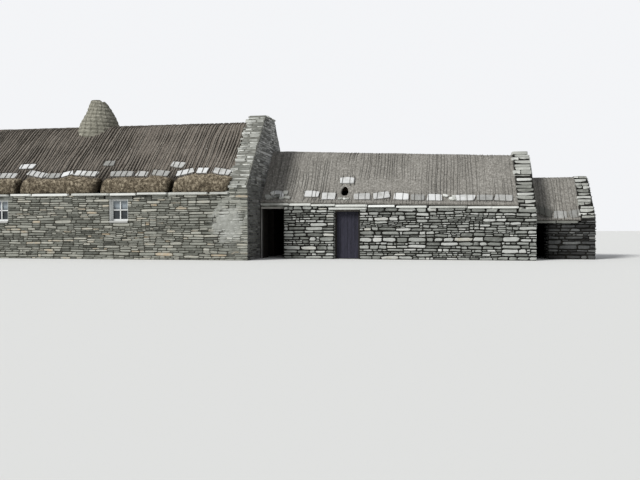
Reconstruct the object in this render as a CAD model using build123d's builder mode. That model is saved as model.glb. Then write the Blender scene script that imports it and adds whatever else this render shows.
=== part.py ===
from build123d import *
from dataclasses import dataclass
import os

# Croft house: a dwelling, a byre and a small store in one row, under three thatched roofs.
# Millimetres. +X runs along the front from left to right, +Y to the back, +Z up.
# The origin is on the ground in the middle of the row.

os.makedirs("parts", exist_ok=True)

# House, the tall range on the left
house_length = 13360
house_depth = 5900
house_wall = 650
house_gable_wall = 600
house_head = 2160
house_brow = 2800
house_brow_in = 350
house_ridge = 4900
house_shoulder = 2450
house_crown = 5070
house_crown_width = 1200

# Byre, the lower range in the middle, whose roof falls to the right
byre_length = 9150
byre_set_back = 1540
byre_wall = 700
byre_gable_wall = 550
byre_head_left = 1850
byre_head_right = 1690
byre_brow_left = 2070
byre_brow_right = 1890
byre_brow_in = 150
byre_ridge_left = 3930
byre_ridge_right = 3600
byre_shoulder = 1700
byre_crown = 3730
byre_crown_width = 800

# Store, the small range on the right
store_length = 2050
store_set_back = 2750
store_wall = 600
store_gable_wall = 450
store_head = 1240
store_brow = 1420
store_brow_in = 110
store_ridge = 2860
store_shoulder = 1440
store_crown = 2920
store_crown_width = 600

# Wall-head flagstones
flag_thickness = 55
flag_overhang = 90
flag_depth = 380

# Thatch and the timbers under it, all measured straight up and down
thatch_at_ridge = 300
ridge_drop = 140
ridge_half_width = 500
purlin_depth = 120
purlin_width = 110
couple_depth = 180
couple_width = 120
couple_seat = 480
couple_foot = 400
ridge_pole_width = 140
collar_thickness = 60
collar_depth = 140
collar_drop = 20
collar_share = 0.42
purlin_shares = (0.30, 0.66)

# Eaves bolsters of straw, parted by gullies
bolster_bulge = 70
bolster_toe = 30
gully_width = 110
gully_places = (-4090, -1510, 1510, 4090)

# Straw chimney over a smoke hole in the ridge
chimney_offset = -150
chimney_foot = 4300
chimney_height = 5945
chimney_rings = ((0, 0, 900), (710, 0, 700), (1200, 35, 475), (1700, -50, 215))
chimney_slant = 40
chimney_slant_start = 170
smoke_hole_radius = 350
flue_radius = 160

# House windows
window_spacing = 4460
window_width = 660
window_height = 730
window_sill_height = 1290
window_recess = 110
window_frame_width = 60
window_frame_depth = 90
window_glass_thickness = 6
window_sill_thickness = 60
window_sill_overhang = 50
window_lintel_bearing = 200

# Doorway through the gable that the house and the byre share
inner_door_width = 800
inner_door_height = 1750

# Passage doorway, open, hard against the house gable
passage_width = 840
passage_height = 1780
passage_post_width = 70

# Byre doorway, closed by a plank door that swings inwards
byre_door_place = 2600
byre_door_opening = 860
byre_door_height = 1670
door_recess = 150
door_post_width = 55
door_post_depth = 100
door_head_height = 60
door_board = 30
door_gap = 6
door_lift = 25
door_ledge_depth = 22
door_ledge_height = 110
door_ledge_end = 120
door_lintel_thickness = 70
door_lintel_bearing = 250
hinge_heights = (330, 1290)
pin_radius = 6
pin_gap = 0.3
eye_wall = 5
hinge_stand_off = 18
hinge_edge_gap = 8
strap_length = 480
strap_height = 50
strap_thickness = 8
strap_web_lap = 1
pintle_plate_height = 30
pintle_plate_length = 50

# Store opening beside the byre gable
store_opening_width = 540

# Vent through the front slope of the byre thatch
vent_place = 2890
vent_height = 2310
vent_width = 200
vent_tall = 280

# Weight stones on the thatch: place along the range, length, and how far in from the brow
# the lower edge lies at the left end and at the right end
weight_thickness = 50
weight_width = 170
weight_lift = 0.5
house_weights = (
    (-5620, 700, 20, 110),
    (-4980, 480, 120, 120),
    (-4420, 500, 110, 30),
    (-3620, 620, 30, 110),
    (-2950, 480, 110, 100),
    (-2220, 720, 70, 50),
    (-1670, 600, 430, 430),
    (-1080, 830, 180, 20),
    (-390, 520, 30, 30),
    (80, 400, 30, 170),
    (810, 950, 130, 60),
    (1450, 440, 500, 500),
    (2150, 960, 50, 60),
    (2900, 480, 60, 30),
    (3540, 690, 110, 20),
    (4020, 520, 430, 360),
    (4410, 580, 20, 170),
    (4990, 420, 150, 150),
    (5660, 730, 170, 20),
)
byre_weights = (
    (600, 440, 80, 60),
    (1760, 520, 90, 80),
    (2380, 580, 20, 20),
    (2950, 600, 560, 560),
    (3520, 600, 20, 40),
    (4160, 600, 30, 110),
    (4840, 520, 50, 40),
    (5390, 500, 20, 20),
    (5940, 540, 30, 20),
    (6930, 660, 20, 20),
    (7570, 520, 40, 30),
    (8140, 580, 50, 30),
)
store_weights = ((360, 500, 130, 20), (860, 420, 20, 20), (1340, 420, 20, 90))

row_length = house_length + byre_length + store_length
house_left = -row_length / 2
house_right = house_left + house_length
byre_right = house_right + byre_length
store_right = byre_right + store_length
house_middle = (house_left + house_right) / 2
front = -house_depth / 2
back = house_depth / 2
byre_front = front + byre_set_back
store_front = front + store_set_back

# Space between the gables of each range
house_start = house_left + house_gable_wall
house_end = house_right - house_gable_wall
byre_start = house_right
byre_end = byre_right - byre_gable_wall
store_start = byre_right
store_end = store_right - store_gable_wall


@dataclass
class Roof:
    """Cross-section of a range at one place along the row."""

    front: float
    wall: float
    head: float
    brow_in: float
    brow: float
    ridge: float

    @property
    def half(self):
        """Distance from a wall face in to the middle of the range."""
        return (back - self.front) / 2

    @property
    def middle(self):
        return (back + self.front) / 2

    @property
    def crown_start(self):
        """Where the straight slope ends and the ridge's round begins, from the wall face."""
        return self.half - ridge_half_width

    @property
    def timber_depth(self):
        return purlin_depth + couple_depth

    def point(self, side, inward, height):
        """A point of the cross-section: side is 1 at the front and -1 at the back."""
        return (self.middle - side * (self.half - inward), height)

    def outer(self, inward):
        """Height of the thatch's straight slope at a distance in from the wall face."""
        rise = self.ridge - ridge_drop - self.brow
        return self.brow + rise * (inward - self.brow_in) / (self.crown_start - self.brow_in)

    def inner(self, inward):
        """Height of the thatch's underside at a distance in from the wall face."""
        start = self.head + self.timber_depth
        rise = self.ridge - thatch_at_ridge - start
        return start + rise * (inward - couple_seat) / (self.half - couple_seat)


def house_roof(x):
    return Roof(front, house_wall, house_head, house_brow_in, house_brow, house_ridge)


def byre_roof(x):
    """The byre's wall head, brow and ridge all fall to the right."""
    share = (x - house_right) / byre_length
    head = byre_head_left + share * (byre_head_right - byre_head_left)
    brow = byre_brow_left + share * (byre_brow_right - byre_brow_left)
    ridge = byre_ridge_left + share * (byre_ridge_right - byre_ridge_left)
    return Roof(byre_front, byre_wall, head, byre_brow_in, brow, ridge)


def store_roof(x):
    return Roof(store_front, store_wall, store_head, store_brow_in, store_brow, store_ridge)


def span(x_start, x_end, roof_at, outline):
    """Adds a solid to the part in hand, with outline(roof, x) drawn at both of its ends."""
    ends = []
    for x in (x_start, x_end):
        with BuildSketch(Plane.YZ.offset(x)) as end:
            with BuildLine():
                outline(roof_at(x), x)
            make_face()
        ends.append(end.sketch)
    loft(ends, ruled=True)


def block(x_start, x_end, y_start, y_end, z_start, z_end, mode=Mode.ADD):
    """Adds a plain block to the part in hand, or cuts one, between two opposite corners."""
    middle = ((x_start + x_end) / 2, (y_start + y_end) / 2, (z_start + z_end) / 2)
    with Locations(middle):
        Box(x_end - x_start, y_end - y_start, z_end - z_start, mode=mode)


def wall_outline(side):
    """A wall from the ground to its head."""

    def draw(roof, x):
        corners = ((0, 0), (roof.wall, 0), (roof.wall, roof.head), (0, roof.head))
        Polyline(*[roof.point(side, u, z) for u, z in corners], close=True)

    return draw


def flag_outline(side):
    """The flagstone course on a wall head, which oversails the wall face."""

    def draw(roof, x):
        top = roof.head + flag_thickness
        corners = (
            (-flag_overhang, roof.head),
            (flag_depth, roof.head),
            (flag_depth, top),
            (-flag_overhang, top),
        )
        Polyline(*[roof.point(side, u, z) for u, z in corners], close=True)

    return draw


def thatch_outline(side, rounded_eaves):
    """Half of the thatch: from the flagstones up the slope to the middle of a round ridge."""

    def draw(roof, x):
        foot = roof.head + flag_thickness
        toe = bolster_toe if rounded_eaves else roof.brow_in
        brow = roof.point(side, roof.brow_in, roof.brow)
        crown = roof.point(side, roof.crown_start, roof.outer(roof.crown_start))
        ridge = roof.point(side, roof.half, roof.ridge)
        if rounded_eaves:
            bulge = roof.point(side, -bolster_toe / 2, (foot + roof.brow) / 2)
            ThreePointArc(roof.point(side, toe, foot), bulge, brow)
        else:
            Line(roof.point(side, toe, foot), brow)
        Line(brow, crown)
        TangentArc(ridge, crown, tangent=(-side, 0))
        Polyline(
            ridge,
            roof.point(side, roof.half, roof.inner(roof.half)),
            roof.point(side, flag_depth, roof.inner(flag_depth)),
            roof.point(side, flag_depth, foot),
            roof.point(side, toe, foot),
        )

    return draw


def bolster_outline(side):
    """A straw bolster on the flagstones, which bulges out in front of the thatch."""

    def draw(roof, x):
        foot = roof.head + flag_thickness
        toe = roof.point(side, bolster_toe, foot)
        brow = roof.point(side, roof.brow_in, roof.brow)
        ThreePointArc(toe, roof.point(side, -bolster_bulge, foot + 0.45 * (roof.brow - foot)), brow)
        Polyline(brow, roof.point(side, roof.brow_in, foot), toe)

    return draw


def couple_outline(side):
    """A couple blade: seated on the wall head, cut upright against the ridge pole."""

    def draw(roof, x):
        end = roof.half - ridge_pole_width / 2
        top_at = lambda u: roof.inner(u) - purlin_depth
        low_at = lambda u: roof.inner(u) - roof.timber_depth
        corners = (
            (couple_foot, roof.head),
            (couple_seat, roof.head),
            (end, low_at(end)),
            (end, top_at(end)),
            (couple_foot, top_at(couple_foot)),
        )
        Polyline(*[roof.point(side, u, z) for u, z in corners], close=True)

    return draw


def purlin_outline(side, share):
    """A pole on the couples, a share of the way up the slope."""

    def draw(roof, x):
        place = couple_seat + share * (roof.half - couple_seat)
        low, high = place - purlin_width / 2, place + purlin_width / 2
        corners = (
            (low, roof.inner(low) - purlin_depth),
            (high, roof.inner(high) - purlin_depth),
            (high, roof.inner(high)),
            (low, roof.inner(low)),
        )
        Polyline(*[roof.point(side, u, z) for u, z in corners], close=True)

    return draw


def ridge_pole_outline(roof, x):
    """The pole that the couple blades lean against, with a pointed top under the thatch."""
    edge = roof.half - ridge_pole_width / 2
    foot = roof.inner(edge) - roof.timber_depth
    Polyline(
        roof.point(1, edge, foot),
        roof.point(1, edge, roof.inner(edge)),
        roof.point(1, roof.half, roof.inner(roof.half)),
        roof.point(-1, edge, roof.inner(edge)),
        roof.point(-1, edge, foot),
        close=True,
    )


def weight_outline(side, x_start, x_end, left_up, right_up):
    """A flat weight stone that lies on the slope; its inward place changes along its length."""

    def draw(roof, x):
        share = (x - x_start) / (x_end - x_start)
        low = roof.brow_in + left_up + share * (right_up - left_up)
        high = low + weight_width
        corners = (
            (low, roof.outer(low) + weight_lift),
            (high, roof.outer(high) + weight_lift),
            (high, roof.outer(high) + weight_lift + weight_thickness),
            (low, roof.outer(low) + weight_lift + weight_thickness),
        )
        Polyline(*[roof.point(side, u, z) for u, z in corners], close=True)

    return draw


def weight_stones(weights, datum, roof_at):
    """Adds one course of weight stones to the front slope and the same to the back slope."""
    for side in (1, -1):
        for place, length, left_up, right_up in weights:
            x_start = datum + place - length / 2
            x_end = x_start + length
            span(x_start, x_end, roof_at, weight_outline(side, x_start, x_end, left_up, right_up))


def passage_lintel_outline(roof, x):
    """The passage lintel, from the top of the opening up to the wall head."""
    corners = ((0, passage_height), (roof.wall, passage_height), (roof.wall, roof.head), (0, roof.head))
    Polyline(*[roof.point(1, u, z) for u, z in corners], close=True)


def gable_outline(gable_front, shoulder, crown, crown_width):
    """Adds the face of a gable: upright to its shoulders, then sloping to a flat crown."""
    middle = (gable_front + back) / 2
    Polyline(
        (gable_front, 0),
        (gable_front, shoulder),
        (middle - crown_width / 2, crown),
        (middle + crown_width / 2, crown),
        (back, shoulder),
        (back, 0),
        close=True,
    )


def couples(roof_at, places):
    """Adds a pair of couple blades at each place."""
    for x in places:
        for side in (1, -1):
            span(x - couple_width / 2, x + couple_width / 2, roof_at, couple_outline(side))


def collars(roof_at, places):
    """Adds the collar that ties each pair of blades, lapped on their right faces."""
    for x in places:
        roof = roof_at(x + couple_width / 2)
        inward = couple_seat + collar_share * (roof.half - couple_seat)
        top = roof.inner(inward) - purlin_depth - collar_drop
        start = x + couple_width / 2
        reach = roof.half - inward
        block(start, start + collar_thickness, roof.middle - reach, roof.middle + reach,
              top - collar_depth, top)


def purlins(roof_at, x_start, x_end):
    """Adds the ridge pole and the poles of both slopes, from wall to wall."""
    span(x_start, x_end, roof_at, ridge_pole_outline)
    for side in (1, -1):
        for share in purlin_shares:
            span(x_start, x_end, roof_at, purlin_outline(side, share))


def even_places(x_start, x_end, count):
    """Places spread evenly between two walls, none against a wall."""
    return [x_start + (x_end - x_start) * (n + 0.5) / count for n in range(count)]


# Walls of the house

window_places = (house_middle - window_spacing / 2, house_middle + window_spacing / 2)

with BuildPart() as house_front_wall:
    span(house_start, house_end, house_roof, wall_outline(1))
    for x in window_places:
        block(x - window_width / 2, x + window_width / 2, front, front + house_wall,
              window_sill_height - window_sill_thickness, window_sill_height + window_height,
              mode=Mode.SUBTRACT)
        block(x - window_width / 2 - window_lintel_bearing, x + window_width / 2 + window_lintel_bearing,
              front, front + house_wall, window_sill_height + window_height, house_head,
              mode=Mode.SUBTRACT)
house_front_wall.part.label = "house_front_wall"
export_step(house_front_wall.part, "parts/house_front_wall.step")

with BuildPart() as house_back_wall:
    span(house_start, house_end, house_roof, wall_outline(-1))
house_back_wall.part.label = "house_back_wall"
export_step(house_back_wall.part, "parts/house_back_wall.step")

with BuildPart() as house_left_gable:
    with BuildSketch(Plane.YZ.offset(house_left)):
        with BuildLine():
            gable_outline(front, house_shoulder, house_crown, house_crown_width)
        make_face()
    extrude(amount=house_gable_wall)
house_left_gable.part.label = "house_left_gable"
export_step(house_left_gable.part, "parts/house_left_gable.step")

with BuildPart() as house_right_gable:
    with BuildSketch(Plane.YZ.offset(house_end)):
        with BuildLine():
            gable_outline(front, house_shoulder, house_crown, house_crown_width)
        make_face()
    extrude(amount=house_gable_wall)
    inner_door_middle = byre_front + byre_wall + inner_door_width
    block(house_end, house_right, inner_door_middle - inner_door_width / 2,
          inner_door_middle + inner_door_width / 2, 0, inner_door_height, mode=Mode.SUBTRACT)
house_right_gable.part.label = "house_right_gable"
export_step(house_right_gable.part, "parts/house_right_gable.step")

with BuildPart() as house_wall_head_flags:
    span(house_start, house_end, house_roof, flag_outline(1))
    span(house_start, house_end, house_roof, flag_outline(-1))
house_wall_head_flags.part.label = "house_wall_head_flags"
export_step(house_wall_head_flags.part, "parts/house_wall_head_flags.step")

# Windows of the house

with BuildPart() as window_lintels:
    for x in window_places:
        block(x - window_width / 2 - window_lintel_bearing, x + window_width / 2 + window_lintel_bearing,
              front, front + house_wall, window_sill_height + window_height, house_head)
window_lintels.part.label = "window_lintels"
export_step(window_lintels.part, "parts/window_lintels.step")

with BuildPart() as window_sills:
    for x in window_places:
        block(x - window_width / 2, x + window_width / 2, front - window_sill_overhang,
              front + house_wall, window_sill_height - window_sill_thickness, window_sill_height)
window_sills.part.label = "window_sills"
export_step(window_sills.part, "parts/window_sills.step")

with BuildPart() as window_frames:
    for x in window_places:
        near = front + window_recess
        far = near + window_frame_depth
        top = window_sill_height + window_height
        block(x - window_width / 2, x + window_width / 2, near, far, window_sill_height, top)
        block(x - window_width / 2 + window_frame_width, x + window_width / 2 - window_frame_width,
              near, far, window_sill_height + window_frame_width, top - window_frame_width,
              mode=Mode.SUBTRACT)
window_frames.part.label = "window_frames"
export_step(window_frames.part, "parts/window_frames.step")

with BuildPart() as window_glass:
    for x in window_places:
        glass_near = front + window_recess + (window_frame_depth - window_glass_thickness) / 2
        block(x - window_width / 2 + window_frame_width, x + window_width / 2 - window_frame_width,
              glass_near, glass_near + window_glass_thickness,
              window_sill_height + window_frame_width,
              window_sill_height + window_height - window_frame_width)
window_glass.part.label = "window_glass"
export_step(window_glass.part, "parts/window_glass.step")

# Roof of the house

with BuildPart() as house_eaves_bolsters:
    gullies = [house_middle + place for place in gully_places]
    starts = [house_start] + [x + gully_width / 2 for x in gullies]
    ends = [x - gully_width / 2 for x in gullies] + [house_end]
    for side in (1, -1):
        for x_start, x_end in zip(starts, ends):
            span(x_start, x_end, house_roof, bolster_outline(side))
house_eaves_bolsters.part.label = "house_eaves_bolsters"
export_step(house_eaves_bolsters.part, "parts/house_eaves_bolsters.step")

chimney_x = house_middle + chimney_offset

with BuildPart() as house_thatch_front:
    span(house_start, house_end, house_roof, thatch_outline(1, rounded_eaves=False))
    with Locations((chimney_x, 0, house_ridge)):
        Cylinder(smoke_hole_radius, 4 * thatch_at_ridge, mode=Mode.SUBTRACT)
house_thatch_front.part.label = "house_thatch_front"
export_step(house_thatch_front.part, "parts/house_thatch_front.step")

with BuildPart() as house_thatch_back:
    span(house_start, house_end, house_roof, thatch_outline(-1, rounded_eaves=False))
    with Locations((chimney_x, 0, house_ridge)):
        Cylinder(smoke_hole_radius, 4 * thatch_at_ridge, mode=Mode.SUBTRACT)
house_thatch_back.part.label = "house_thatch_back"
export_step(house_thatch_back.part, "parts/house_thatch_back.step")

with BuildPart() as house_roof_form:
    for side in (1, -1):
        with BuildSketch(Plane.YZ.offset(house_start)):
            with BuildLine():
                roof = house_roof(house_start)
                crown = roof.point(side, roof.crown_start, roof.outer(roof.crown_start))
                ridge = roof.point(side, roof.half, roof.ridge)
                TangentArc(ridge, crown, tangent=(-side, 0))
                Polyline(crown, roof.point(side, roof.brow_in, roof.brow),
                         roof.point(side, roof.half, roof.brow), ridge)
            make_face()
        extrude(amount=house_end - house_start)

with BuildPart() as house_chimney:
    for rise, lean, radius in chimney_rings:
        with BuildSketch(Plane.XY.offset(chimney_foot + rise)):
            with Locations((chimney_x + lean, 0)):
                Circle(radius)
    loft()
    add(house_roof_form.part, mode=Mode.SUBTRACT)
    neck_foot = house_ridge - thatch_at_ridge
    neck_top = house_ridge + thatch_at_ridge / 2
    with Locations((chimney_x, 0, (neck_foot + neck_top) / 2)):
        Cylinder(smoke_hole_radius, neck_top - neck_foot)
    with Locations((chimney_x, 0, neck_foot)):
        Cylinder(flue_radius, 2 * (chimney_height - neck_foot) + flue_radius, mode=Mode.SUBTRACT)
    split(bisect_by=Plane.XY.offset(chimney_height), keep=Keep.BOTTOM)
    slant_edge = (chimney_x + chimney_slant_start, 0, chimney_height)
    split(bisect_by=Plane(origin=slant_edge, x_dir=(0, 1, 0)).rotated((0, chimney_slant, 0)),
          keep=Keep.BOTTOM)
house_chimney.part.label = "house_chimney"
export_step(house_chimney.part, "parts/house_chimney.step")

house_couple_places = even_places(house_start, house_end, 6)

with BuildPart() as house_couples:
    couples(house_roof, house_couple_places)
house_couples.part.label = "house_couples"
export_step(house_couples.part, "parts/house_couples.step")

with BuildPart() as house_collars:
    collars(house_roof, house_couple_places)
house_collars.part.label = "house_collars"
export_step(house_collars.part, "parts/house_collars.step")

with BuildPart() as house_purlins:
    purlins(house_roof, house_start, house_end)
    with Locations((chimney_x, 0, house_ridge)):
        Cylinder(smoke_hole_radius, 6 * thatch_at_ridge, mode=Mode.SUBTRACT)
house_purlins.part.label = "house_purlins"
export_step(house_purlins.part, "parts/house_purlins.step")

with BuildPart() as house_weight_stones:
    weight_stones(house_weights, house_middle, house_roof)
house_weight_stones.part.label = "house_weight_stones"
export_step(house_weight_stones.part, "parts/house_weight_stones.step")

# Walls of the byre

passage_end = byre_start + passage_width
doorway_start = byre_start + byre_door_place
doorway_end = doorway_start + byre_door_opening

with BuildPart() as byre_front_wall_between_doors:
    span(passage_end, doorway_start, byre_roof, wall_outline(1))
    block(doorway_start - door_lintel_bearing, doorway_start, byre_front, byre_front + byre_wall,
          byre_door_height, byre_door_height + door_lintel_thickness, mode=Mode.SUBTRACT)
    block(passage_end, passage_end + door_lintel_bearing, byre_front, byre_front + byre_wall,
          passage_height, byre_head_left, mode=Mode.SUBTRACT)
byre_front_wall_between_doors.part.label = "byre_front_wall_between_doors"
export_step(byre_front_wall_between_doors.part, "parts/byre_front_wall_between_doors.step")

with BuildPart() as byre_front_wall_right:
    span(doorway_end, byre_end, byre_roof, wall_outline(1))
    block(doorway_end, doorway_end + door_lintel_bearing, byre_front, byre_front + byre_wall,
          byre_door_height, byre_door_height + door_lintel_thickness, mode=Mode.SUBTRACT)
byre_front_wall_right.part.label = "byre_front_wall_right"
export_step(byre_front_wall_right.part, "parts/byre_front_wall_right.step")

with BuildPart() as byre_front_wall_over_door:
    span(doorway_start, doorway_end, byre_roof, wall_outline(1))
    block(doorway_start, doorway_end, byre_front, byre_front + byre_wall,
          0, byre_door_height + door_lintel_thickness, mode=Mode.SUBTRACT)
byre_front_wall_over_door.part.label = "byre_front_wall_over_door"
export_step(byre_front_wall_over_door.part, "parts/byre_front_wall_over_door.step")

with BuildPart() as byre_back_wall:
    span(byre_start, byre_end, byre_roof, wall_outline(-1))
byre_back_wall.part.label = "byre_back_wall"
export_step(byre_back_wall.part, "parts/byre_back_wall.step")

with BuildPart() as byre_gable:
    with BuildSketch(Plane.YZ.offset(byre_end)):
        with BuildLine():
            gable_outline(byre_front, byre_shoulder, byre_crown, byre_crown_width)
        make_face()
    extrude(amount=byre_gable_wall)
byre_gable.part.label = "byre_gable"
export_step(byre_gable.part, "parts/byre_gable.step")

with BuildPart() as byre_wall_head_flags:
    span(byre_start, byre_end, byre_roof, flag_outline(1))
    span(byre_start, byre_end, byre_roof, flag_outline(-1))
byre_wall_head_flags.part.label = "byre_wall_head_flags"
export_step(byre_wall_head_flags.part, "parts/byre_wall_head_flags.step")

with BuildPart() as door_lintels:
    block(doorway_start - door_lintel_bearing, doorway_end + door_lintel_bearing,
          byre_front, byre_front + byre_wall,
          byre_door_height, byre_door_height + door_lintel_thickness)
    span(byre_start, passage_end + door_lintel_bearing, byre_roof, passage_lintel_outline)
door_lintels.part.label = "door_lintels"
export_step(door_lintels.part, "parts/door_lintels.step")

# Timber of the two doorways

post_near = byre_front + door_recess
post_far = post_near + door_post_depth
passage_head_foot = passage_height - door_head_height
byre_door_head_foot = byre_door_height - door_head_height

with BuildPart() as door_posts:
    block(byre_start, byre_start + passage_post_width, post_near, post_far, 0, passage_head_foot)
    block(doorway_start, doorway_start + door_post_width, post_near, post_far, 0, byre_door_head_foot)
    block(doorway_end - door_post_width, doorway_end, post_near, post_far, 0, byre_door_head_foot)
door_posts.part.label = "door_posts"
export_step(door_posts.part, "parts/door_posts.step")

with BuildPart() as door_heads:
    block(byre_start, passage_end, post_near, post_far, passage_head_foot, passage_height)
    block(doorway_start, doorway_end, post_near, post_far, byre_door_head_foot, byre_door_height)
door_heads.part.label = "door_heads"
export_step(door_heads.part, "parts/door_heads.step")

# Plank door: its inner face is flush with the posts' inner faces, and its hinges stand on that face
leaf_start = doorway_start + door_post_width + door_gap
leaf_end = doorway_end - door_post_width - door_gap
leaf_top = byre_door_head_foot - door_gap
hinge_x = leaf_start - hinge_edge_gap
hinge_y = post_far + hinge_stand_off

with BuildPart() as byre_door:
    block(leaf_start, leaf_end, post_far - door_ledge_depth - door_board, post_far - door_ledge_depth,
          door_lift, leaf_top)
    for place in (door_lift + door_ledge_end, (door_lift + leaf_top) / 2, leaf_top - door_ledge_end):
        block(leaf_start, leaf_end, post_far - door_ledge_depth, post_far,
              place - door_ledge_height / 2, place + door_ledge_height / 2)
byre_door.part.label = "byre_door"
export_step(byre_door.part, "parts/byre_door.step")

with BuildPart() as door_straps:
    for height in hinge_heights:
        low, high = height - strap_height / 2, height + strap_height / 2
        block(leaf_start, leaf_start + strap_length, post_far - door_ledge_depth,
              post_far - door_ledge_depth + strap_thickness, low, high)
        block(leaf_start, leaf_start + strap_height / 2, post_far - door_ledge_depth,
              hinge_y + pin_radius, low, high)
        with Locations((hinge_x, hinge_y, height)):
            Cylinder(pin_radius + pin_gap + eye_wall, strap_height)
        block(hinge_x, leaf_start + strap_web_lap, hinge_y - pin_radius, hinge_y + pin_radius, low, high)
        with Locations((hinge_x, hinge_y, height)):
            Cylinder(pin_radius + pin_gap, strap_height, mode=Mode.SUBTRACT)
door_straps.part.label = "door_straps"
export_step(door_straps.part, "parts/door_straps.step")

with BuildPart() as door_pintles:
    for height in hinge_heights:
        plate_top = height - strap_height / 2 - pin_gap
        plate_foot = plate_top - pintle_plate_height
        block(hinge_x - pintle_plate_length, hinge_x, post_far, hinge_y + pin_radius, plate_foot, plate_top)
        with Locations((hinge_x, hinge_y, (plate_foot + height + strap_height) / 2)):
            Cylinder(pin_radius, height + strap_height - plate_foot)
door_pintles.part.label = "door_pintles"
export_step(door_pintles.part, "parts/door_pintles.step")

# Roof of the byre

with BuildPart() as byre_thatch_front:
    span(byre_start, byre_end, byre_roof, thatch_outline(1, rounded_eaves=True))
    with BuildSketch(Plane.XZ.offset(-byre_front)):
        with Locations((byre_start + vent_place, vent_height)):
            Ellipse(vent_width / 2, vent_tall / 2)
    extrude(amount=-2 * byre_wall, mode=Mode.SUBTRACT)
byre_thatch_front.part.label = "byre_thatch_front"
export_step(byre_thatch_front.part, "parts/byre_thatch_front.step")

with BuildPart() as byre_thatch_back:
    span(byre_start, byre_end, byre_roof, thatch_outline(-1, rounded_eaves=True))
byre_thatch_back.part.label = "byre_thatch_back"
export_step(byre_thatch_back.part, "parts/byre_thatch_back.step")

byre_couple_places = even_places(byre_start, byre_end, 4)

with BuildPart() as byre_couples:
    couples(byre_roof, byre_couple_places)
byre_couples.part.label = "byre_couples"
export_step(byre_couples.part, "parts/byre_couples.step")

with BuildPart() as byre_collars:
    collars(byre_roof, byre_couple_places)
byre_collars.part.label = "byre_collars"
export_step(byre_collars.part, "parts/byre_collars.step")

with BuildPart() as byre_purlins:
    purlins(byre_roof, byre_start, byre_end)
byre_purlins.part.label = "byre_purlins"
export_step(byre_purlins.part, "parts/byre_purlins.step")

with BuildPart() as byre_weight_stones:
    weight_stones(byre_weights, byre_start, byre_roof)
byre_weight_stones.part.label = "byre_weight_stones"
export_step(byre_weight_stones.part, "parts/byre_weight_stones.step")

# Store

with BuildPart() as store_front_wall:
    span(store_start + store_opening_width, store_end, store_roof, wall_outline(1))
store_front_wall.part.label = "store_front_wall"
export_step(store_front_wall.part, "parts/store_front_wall.step")

with BuildPart() as store_back_wall:
    span(store_start, store_end, store_roof, wall_outline(-1))
store_back_wall.part.label = "store_back_wall"
export_step(store_back_wall.part, "parts/store_back_wall.step")

with BuildPart() as store_gable:
    with BuildSketch(Plane.YZ.offset(store_end)):
        with BuildLine():
            gable_outline(store_front, store_shoulder, store_crown, store_crown_width)
        make_face()
    extrude(amount=store_gable_wall)
store_gable.part.label = "store_gable"
export_step(store_gable.part, "parts/store_gable.step")

with BuildPart() as store_wall_head_flags:
    span(store_start, store_end, store_roof, flag_outline(1))
    span(store_start, store_end, store_roof, flag_outline(-1))
store_wall_head_flags.part.label = "store_wall_head_flags"
export_step(store_wall_head_flags.part, "parts/store_wall_head_flags.step")

with BuildPart() as store_thatch_front:
    span(store_start, store_end, store_roof, thatch_outline(1, rounded_eaves=True))
store_thatch_front.part.label = "store_thatch_front"
export_step(store_thatch_front.part, "parts/store_thatch_front.step")

with BuildPart() as store_thatch_back:
    span(store_start, store_end, store_roof, thatch_outline(-1, rounded_eaves=True))
store_thatch_back.part.label = "store_thatch_back"
export_step(store_thatch_back.part, "parts/store_thatch_back.step")

with BuildPart() as store_couples:
    couples(store_roof, even_places(store_start, store_end, 1))
store_couples.part.label = "store_couples"
export_step(store_couples.part, "parts/store_couples.step")

with BuildPart() as store_purlins:
    purlins(store_roof, store_start, store_end)
store_purlins.part.label = "store_purlins"
export_step(store_purlins.part, "parts/store_purlins.step")

with BuildPart() as store_weight_stones:
    weight_stones(store_weights, store_start, store_roof)
store_weight_stones.part.label = "store_weight_stones"
export_step(store_weight_stones.part, "parts/store_weight_stones.step")
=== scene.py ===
# %% [markdown]
# # A croft house in one long row
#
# The row is a dwelling, a byre and a small store under three thatched roofs. The packed
# CAD model gives every wall, timber and roof its place, and stays as the hidden core.
# Here each surface gets what the eye sees: stones laid one by one, straw ropes, turf-brown
# thatch, whitewashed weight stones, planks and iron. Everything is in metres, and +X runs
# along the front from left to right, +Y goes to the back, +Z goes up.

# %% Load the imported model
import math

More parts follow.
